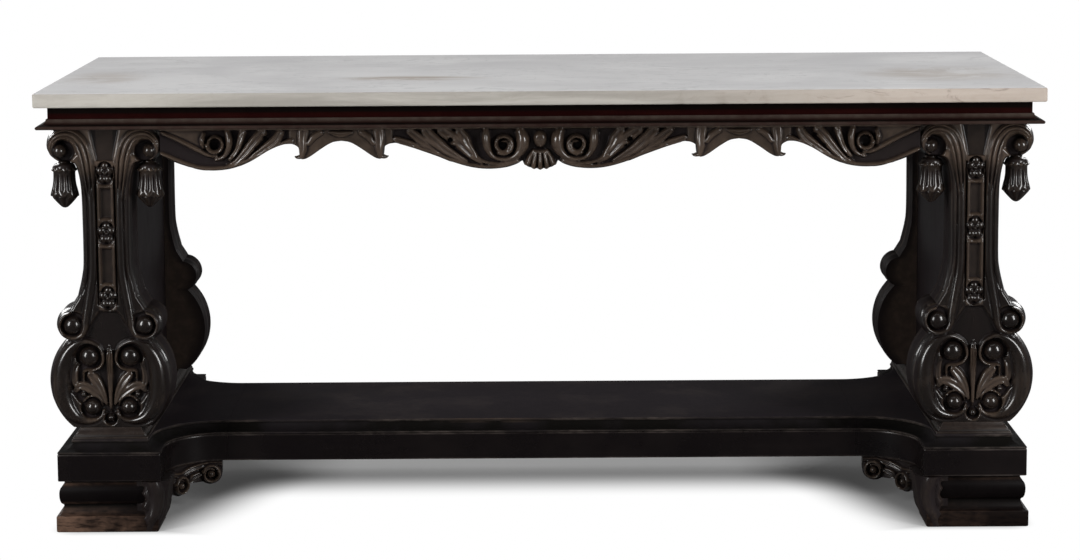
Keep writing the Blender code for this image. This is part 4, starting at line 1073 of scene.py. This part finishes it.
# Colours of the marble, and its stains by place, half-size and strength
CLOUD_GREY = (0.485, 0.480, 0.485)
CLOUD_WHITE = (0.575, 0.570, 0.570)
VEIN_GREY = (0.27, 0.275, 0.285)
THREAD_GREY = (0.30, 0.295, 0.29)
STAIN_BROWN = (0.36, 0.315, 0.255)
STAIN_DARK = (0.27, 0.21, 0.155)
EDGE_DARK = (0.200, 0.183, 0.155)
EDGE_CREAM = (0.318, 0.298, 0.262)
EDGE_PINK = (0.355, 0.275, 0.218)
EDGE_VEIN = (0.150, 0.105, 0.078)
CHIP_BROWN = (0.16, 0.135, 0.11)
GRIT_GREY = (0.30, 0.29, 0.28)
MARBLE_STAINS = (
    ((-0.24, -0.13), (0.17, 0.06), 0.9),
    ((-0.83, -0.08), (0.10, 0.16), 0.5),
    ((0.76, -0.10), (0.20, 0.20), 0.5),
)


def marble_finish():
    """Cool grey-white marble: soft clouds, thin winding veins, brown stains and a creamy sawn edge.

    To the right the edge is pinker and has brown veins.
    """
    material, wire, place = new_finish("pale_marble")
    clouds = noise(place, 2.6, 6, 0.6, (1, 1.4, 1), 0.6)
    drift = noise(place, 5.5, 5, 0.6, (0.7, 1.3, 1), 1.4)
    crack = noise(place, 1.7, 7, 0.62, (1, 2.2, 1), 2.2)
    fine = noise(place, 90, 4, 0.6)
    vein = 1 - abs(crack - 0.5).step(0.0, 0.018)
    thread = 1 - abs(drift - 0.47).step(0.0, 0.012)
    colour = clouds.step(0.30, 0.72).mix(CLOUD_GREY, CLOUD_WHITE)
    colour = (vein * 0.34 * clouds.step(0.35, 0.6)).mix(colour, VEIN_GREY)
    colour = (thread * 0.22).mix(colour, THREAD_GREY)
    stain = noise(place, 1.25, 3, 0.55, (1, 1, 1), 0.9)
    colour = (stain.step(0.60, 0.76) * 0.42).mix(colour, STAIN_BROWN)
    for centre, half, strength in MARBLE_STAINS:
        apart = place.vector("SUBTRACT", (*centre, TABLE_TOP)).vector("DIVIDE", (*half, 1.0))
        near = 1.0 - apart.length().step(0.2, 1.0)
        colour = (near * drift.step(0.30, 0.62) * strength).clamp().mix(colour, STAIN_DARK)
    side = mark(wire, "worn")
    band = noise(place, 3.2, 5, 0.65, (1, 1, 9), 0.5)
    right = place.axis("X").step(0.05, 0.80)
    flaw = noise(place, 15, 6, 0.7, (1, 1, 2.6), 1.6)
    cream = band.step(0.32, 0.70).mix(EDGE_DARK, EDGE_CREAM)
    cream = (right * 0.60).mix(cream, EDGE_PINK)
    cream = (flaw.step(0.55, 0.66) * (0.12 + 0.55 * right)).mix(cream, EDGE_VEIN)
    colour = (side * 0.85).mix(colour, cream)
    colour = (mark(wire, "hollow") * 0.35).mix(colour, CHIP_BROWN)
    colour = (fine.step(0.62, 0.80) * 0.12).mix(colour, GRIT_GREY)
    roughness = 0.60 + 0.10 * clouds.step(0.3, 0.7) + 0.05 * side
    bump = (0.5 * fine + clouds).bump(0.06, 0.001)
    surface(wire, Base_Color=colour, Roughness=roughness, Normal=bump, Specular_IOR_Level=0.07)
    return material


def plain_wood():
    """Brown wood inside the frame, darkened by age, with long fibres."""
    material, wire, place = new_finish("inner_softwood")
    fibres = noise(place, 40, 5, 0.6, (1, 0.08, 1))
    rings = noise(place, 9, 3, 0.5, (1, 0.12, 1), 1.2)
    colour = fibres.step(0.3, 0.7).mix((0.042, 0.026, 0.017), (0.074, 0.046, 0.029))
    colour = (rings.step(0.45, 0.7) * 0.4).mix(colour, (0.031, 0.019, 0.013))
    roughness = 0.62 + 0.2 * rings
    bump = fibres.bump(0.2, 0.001)
    surface(wire, Base_Color=colour, Roughness=roughness, Normal=bump, Specular_IOR_Level=0.2)
    return material


def steel_finish():
    """Dull screw steel with darker spots."""
    material, wire, place = new_finish("screw_steel")
    spots = noise(place, 300, 4, 0.6)
    colour = spots.step(0.4, 0.7).mix((0.36, 0.35, 0.34), (0.16, 0.13, 0.11))
    surface(wire, Base_Color=colour, Roughness=0.38 + 0.25 * spots, Metallic=1.0)
    return material


ebonised = dark_wood("ebonised_wood", (0.0033, 0.0021, 0.0023), (0.0056, 0.0035, 0.0034),
                     gloss=0.26, rough=0.26, grain=ALONG_X, wear=0.35)
# The shelf's finish is paler than the ebonised wood: partly dust, partly a painted sheen on its top
painted_sheen_shelf = dark_wood("shelf_wood_painted_sheen", (0.0120, 0.0094, 0.0116), (0.0140, 0.0110, 0.0128),
                    gloss=0.06, rough=0.55, grain=ALONG_X, wear=0.35)
footed = dark_wood("foot_wood", (0.0020, 0.0013, 0.0014), (0.0034, 0.0022, 0.0022),
                   gloss=0.06, rough=0.42, grain=ALONG_X, wear=0.75, rubbed_and_highlight=(0.085, 0.050, 0.034))
# The support panels' wood is paler than the ebonised wood: painted light on faces that lie in shade
painted_light_panel = dark_wood("panel_wood_painted_light", (0.0100, 0.0071, 0.0080), (0.0120, 0.0085, 0.0090),
                     gloss=0.10, rough=0.38, grain=UPRIGHT)
carved = dark_wood("carved_wood", (0.0048, 0.0031, 0.0026), (0.0098, 0.0062, 0.0047),
                   gloss=0.08, rough=0.36, grain=UPRIGHT, dust_and_shade=(0.0110, 0.0078, 0.0080),
                   rubbed_and_highlight=(0.046, 0.032, 0.023), bloom_and_light=(0.068, 0.047, 0.034), polish=0.95)
# The frieze darkens towards the slab as a painted shadow of the slab; its pale colour paints the cornice's
# highlight
frieze = dark_wood("frieze_wood", (0.0085, 0.0011, 0.0010), (0.0155, 0.0023, 0.0018),
                   gloss=0.04, rough=0.30, grain=ALONG_X, wear=0.4, bloom_and_light=(0.037, 0.028, 0.023),
                   shadow_heights=(SUPPORT_TOP + 0.026, SUPPORT_TOP + 0.031))
inside = plain_wood()
marble = marble_finish()
steel = steel_finish()

# Finishes of the frame's own nodes, by the end of a node's name
NODE_FINISHES = {
    "frieze_rail": frieze,
    "bearer": inside,
    "cleat": inside,
    "panel": painted_light_panel,
    "rail": ebonised,
    "screw": steel,
}
for name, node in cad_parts.items():
    kinds = [finish for ending, finish in NODE_FINISHES.items() if name.endswith(ending)]
    node.data.materials.clear()
    node.data.materials.append((kinds or [carved])[0])

# Carved pieces
ENDS = (("left", -1), ("right", 1))
DEPTHS = (("front", 1), ("back", -1))
points, marks = carved_pilaster()
for end, way in ENDS:
    for depth, shape in (("front", points), ("back", turned(points))):
        name = f"{end}_{depth}_pilaster"
        place = shape + np.array([way * SUPPORT_X, 0, 0])
        make_piece(f"{name}_carving", place, carved, [name], marks, CARVED_EDGE)
make_pair(("front", "back"), "apron_carving", "apron", carved_apron(), carved, CARVED_EDGE)
hook, marks = cusp_hook()
inner_hook = (hook - np.array([2 * ARCH_X, 0, 0])) * np.array([-1, 1, 1])
for cusp, shape in (("outer", hook), ("inner", inner_hook)):
    for end, way in ENDS:
        for depth, near in DEPTHS:
            name = f"{depth}_apron_{end}_{cusp}_hook"
            place = shape * np.array([way, near, 1])
            make_piece(name, place, carved, (), marks, CARVED_EDGE)
points, marks = husk_surface()
for end, way in ENDS:
    for depth, _ in DEPTHS:
        for side in ("outer", "inner"):
            name = f"{end}_{depth}_{side}_husk"
            low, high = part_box(name)
            x = (low.x + high.x) / 2
            shift = math.copysign(HUSK_SHIFT, x - way * SUPPORT_X)
            place = points + np.array([x + shift, (low.y + high.y) / 2, high.z])
            make_piece(f"{name}_carving", place, carved, [name], marks, CARVED_EDGE)


def shade_below_lip(shape):
    """A shape with the shelf's moulded edge, painted dark below its lip as shade, so that the painted sheen
    stays on the top.
    """
    points, marks = shape
    below = points[..., 2] < SHELF_TOP - 0.0015
    marks["hollow"] = np.maximum(marks["hollow"], 0.9 * below)
    return points, marks


# Platform and feet
SIDES = ("right", "left")
cap = shade_below_lip(stack(coved_plan, shelf_edge()))
make_pair(SIDES, "cap_moulding", "plinth_cap", cap, painted_sheen_shelf)
block = stack(coved_plan, block_profile())
make_pair(SIDES, "block_moulding", "plinth_block", block, ebonised)
points, marks = shade_below_lip(straight_board(-SHELF_HALF_DEPTH, SHELF_HALF_DEPTH, shelf_edge()))
bald = np.exp(-(((points[..., 0] + 0.110) / 0.095) ** 4)) * (points[..., 1] < -SHELF_HALF_DEPTH + 0.030)
marks["pale"] = bald * (np.abs(points[..., 2] - SHELF_TOP + 0.004) < 0.0039)
make_piece("shelf_moulding", points, painted_sheen_shelf, ["shelf_board"], marks)
for depth, _ in DEPTHS:
    name = f"{depth}_platform_rail"
    low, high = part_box(name)
    points, marks = straight_board(low.y, high.y, block_profile())
    make_piece(f"{name}_moulding", points, ebonised, [name], marks)
for kind, (points, marks) in (("bracket", carved_bracket()), ("foot_leaf", foot_leaf())):
    for end, way in ENDS[::-1]:
        for depth, near in DEPTHS:
            name = f"{end}_{depth}_{kind}"
            replaced = [name] if kind == "bracket" else ()
            place = points * np.array([way, near, 1])
            make_piece(f"{name}_carving", place, carved, replaced, marks, CARVED_EDGE)
for end, way in ENDS:
    points, marks = stack(rectangle(PLINTH_HALF, PLINTH_Y, (way * SUPPORT_X, 0)), riser_profile())
    marks["pale"] = np.full(marks["worn"].shape, 0.22)
    make_piece(f"{end}_riser_moulding", points, ebonised, [f"{end}_riser"], marks)
    for depth, _ in DEPTHS:
        name = f"{end}_{depth}_foot"
        low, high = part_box(name)
        half_x = (high.x - low.x) / 2 - FOOT_PROUD
        half_y = (high.y - low.y) / 2 - FOOT_PROUD
        centre = ((low.x + high.x) / 2, (low.y + high.y) / 2)
        points, marks = stack(rectangle(half_x, half_y, centre), foot_profile())
        marks["worn"] = marks["worn"] * FOOT_WEAR[end]
        if end == "left":
            marks["worn"] = marks["worn"] * (0.72 + 0.60 * bell(points[..., 0], low.x, 0.05))
        make_piece(f"{name}_moulding", points, footed, [name], marks)

# Cornice and slab
strip = cornice_strip(FRIEZE_X, FRIEZE_Y)
make_pair(("front", "back"), "cornice_moulding", "cornice", strip, frieze)
points, marks = cornice_strip(FRIEZE_Y, FRIEZE_X)
strip = (points[..., [1, 0, 2]] * np.array([1, -1, 1]), marks)
make_pair(("left", "right"), "cornice_moulding", "cornice", strip, frieze)
points, marks = slab_rings()
make_piece("marble_slab", points, marble, ["marble_top"], marks)

# Stage: the floor and its shade, what the wood reflects of the white, and the lamps
WHITE = (1, 1, 1)
FLOOR_WHITE = (0.90, 0.90, 0.90)
FLOOR_HALF = 30.0
FOOTPRINT = (0.855, 0.335, 0.0)
SHADE_LEVEL = 0.255
SHADE_EVEN = 0.6
REFLECTED_WHITE = 0.08
FILL_LIGHT = 0.14
AIM_HEIGHT = 0.45
SIDE_LAMP = (0.8, 2.2)
TOP_LAMP = (2.6, 1.4)


def ray(wire, kind):
    """1 for rays of a kind, and 0 for any other."""
    return wire.node("LightPath", output=f"Is {kind} Ray")


def seen_white(wire):
    """1 for a ray from the camera or through glass, and 0 for any other."""
    return ray(wire, "Camera").larger(ray(wire, "Transmission"))


def glow(wire, strength):
    """White light of a strength."""
    return wire.node("Emission", None, {"Color": paint(WHITE), "Strength": strength})


def white_sweep():
    """Floor that takes the table's shadow and turns white away from it, for the camera and for glass.

    The white share grows with the distance from the table's footprint, a rounded rectangle, and in a pool of
    light between the front feet: it fades to the back, and to each side along a line that leans out to the
    feet. Part of the shade near the table is an even tone, darker towards the ends.
    """
    far = FLOOR_HALF
    mesh = bpy.data.meshes.new("floor")
    mesh.from_pydata([(-far, -far, 0), (far, -far, 0), (far, far, 0), (-far, far, 0)], [], [(0, 1, 2, 3)])
    floor = bpy.data.objects.new("floor", mesh)
    bpy.context.scene.collection.objects.link(floor)
    material, wire, place = new_finish("white_floor")
    apart = place.vector("ABSOLUTE").vector("SUBTRACT", FOOTPRINT).vector("MAXIMUM")
    across = abs(place.axis("X"))
    back = place.axis("Y")
    pool = (1.0 - (across + 0.40 * back).step(0.442, 0.614)) * (1.0 - back.step(-0.125, 0.080))
    away = apart.length().step(0.0, 0.06).larger(pool)
    level = SHADE_LEVEL * (1.0 - 0.78 * across.step(0.36, 0.54))
    matt = wire.node("BsdfDiffuse", None, {"Color": paint(FLOOR_WHITE)})
    near = (seen_white(wire) * SHADE_EVEN).blend(matt, glow(wire, level))
    mixed = (seen_white(wire) * away).blend(near, glow(wire, 1.0))
    mixed = ray(wire, "Glossy").blend(mixed, glow(wire, REFLECTED_WHITE))
    wire.node("OutputMaterial", None, {"Surface": mixed})
    mesh.materials.append(material)


def studio_world(fill):
    """White wherever the camera looks, dimmer in a reflection, and a soft even fill for the rest."""
    world = bpy.data.worlds.new("studio")
    world.use_nodes = True
    world.node_tree.nodes.clear()
    wire = Wire(world.node_tree)
    strength = fill + (1.0 - fill) * seen_white(wire) + (REFLECTED_WHITE - fill) * ray(wire, "Glossy")
    back = wire.node("Background", None, {"Color": paint(WHITE), "Strength": strength})
    wire.node("OutputWorld", None, {"Surface": back})
    bpy.context.scene.world = world


def softbox(name, azimuth, elevation, distance, size, watts):
    """A lamp of a width and height at an azimuth from the front, turned to the middle of the table."""
    lamp = bpy.data.lights.new(name, "AREA")
    lamp.shape = "RECTANGLE"
    lamp.size, lamp.size_y = size
    lamp.energy = watts
    holder = bpy.data.objects.new(name, lamp)
    holder.visible_camera = False
    a = math.radians(azimuth)
    e = math.radians(elevation)
    spot = np.array([math.sin(a) * math.cos(e), -math.cos(a) * math.cos(e), math.sin(e)]) * distance
    holder.location = spot + np.array([0, 0, AIM_HEIGHT])
    holder.rotation_euler = Euler((math.radians(90) - e, 0, a))
    bpy.context.scene.collection.objects.link(holder)


white_sweep()
studio_world(FILL_LIGHT)
for kind, azimuth, elevation, watts in (("softbox", 50, 19, 105), ("back_softbox", 132, 24, 56)):
    for end, way in ENDS:
        softbox(f"{end}_{kind}", way * azimuth, elevation, 3.8, SIDE_LAMP, watts)
softbox("top_softbox", 0, 84, 2.9, TOP_LAMP, 20)

# Camera at the photograph's place: it looks down by seven degrees and leans by a third of one
lens = bpy.data.cameras.new("camera")
lens.lens = 92.77
lens.shift_y = -0.1052
lens.sensor_width = 36.0
camera = bpy.data.objects.new("camera", lens)
camera.location = (0.002, -5.367, 1.313)
tilt = Matrix.Rotation(math.radians(82.73), 3, "X") @ Matrix.Rotation(math.radians(-0.37), 3, "Z")
camera.rotation_euler = (Matrix.Rotation(math.radians(0.028), 3, "Z") @ tilt).to_euler()
bpy.context.scene.collection.objects.link(camera)
bpy.context.scene.camera = camera
bpy.context.scene.view_settings.view_transform = "Standard"
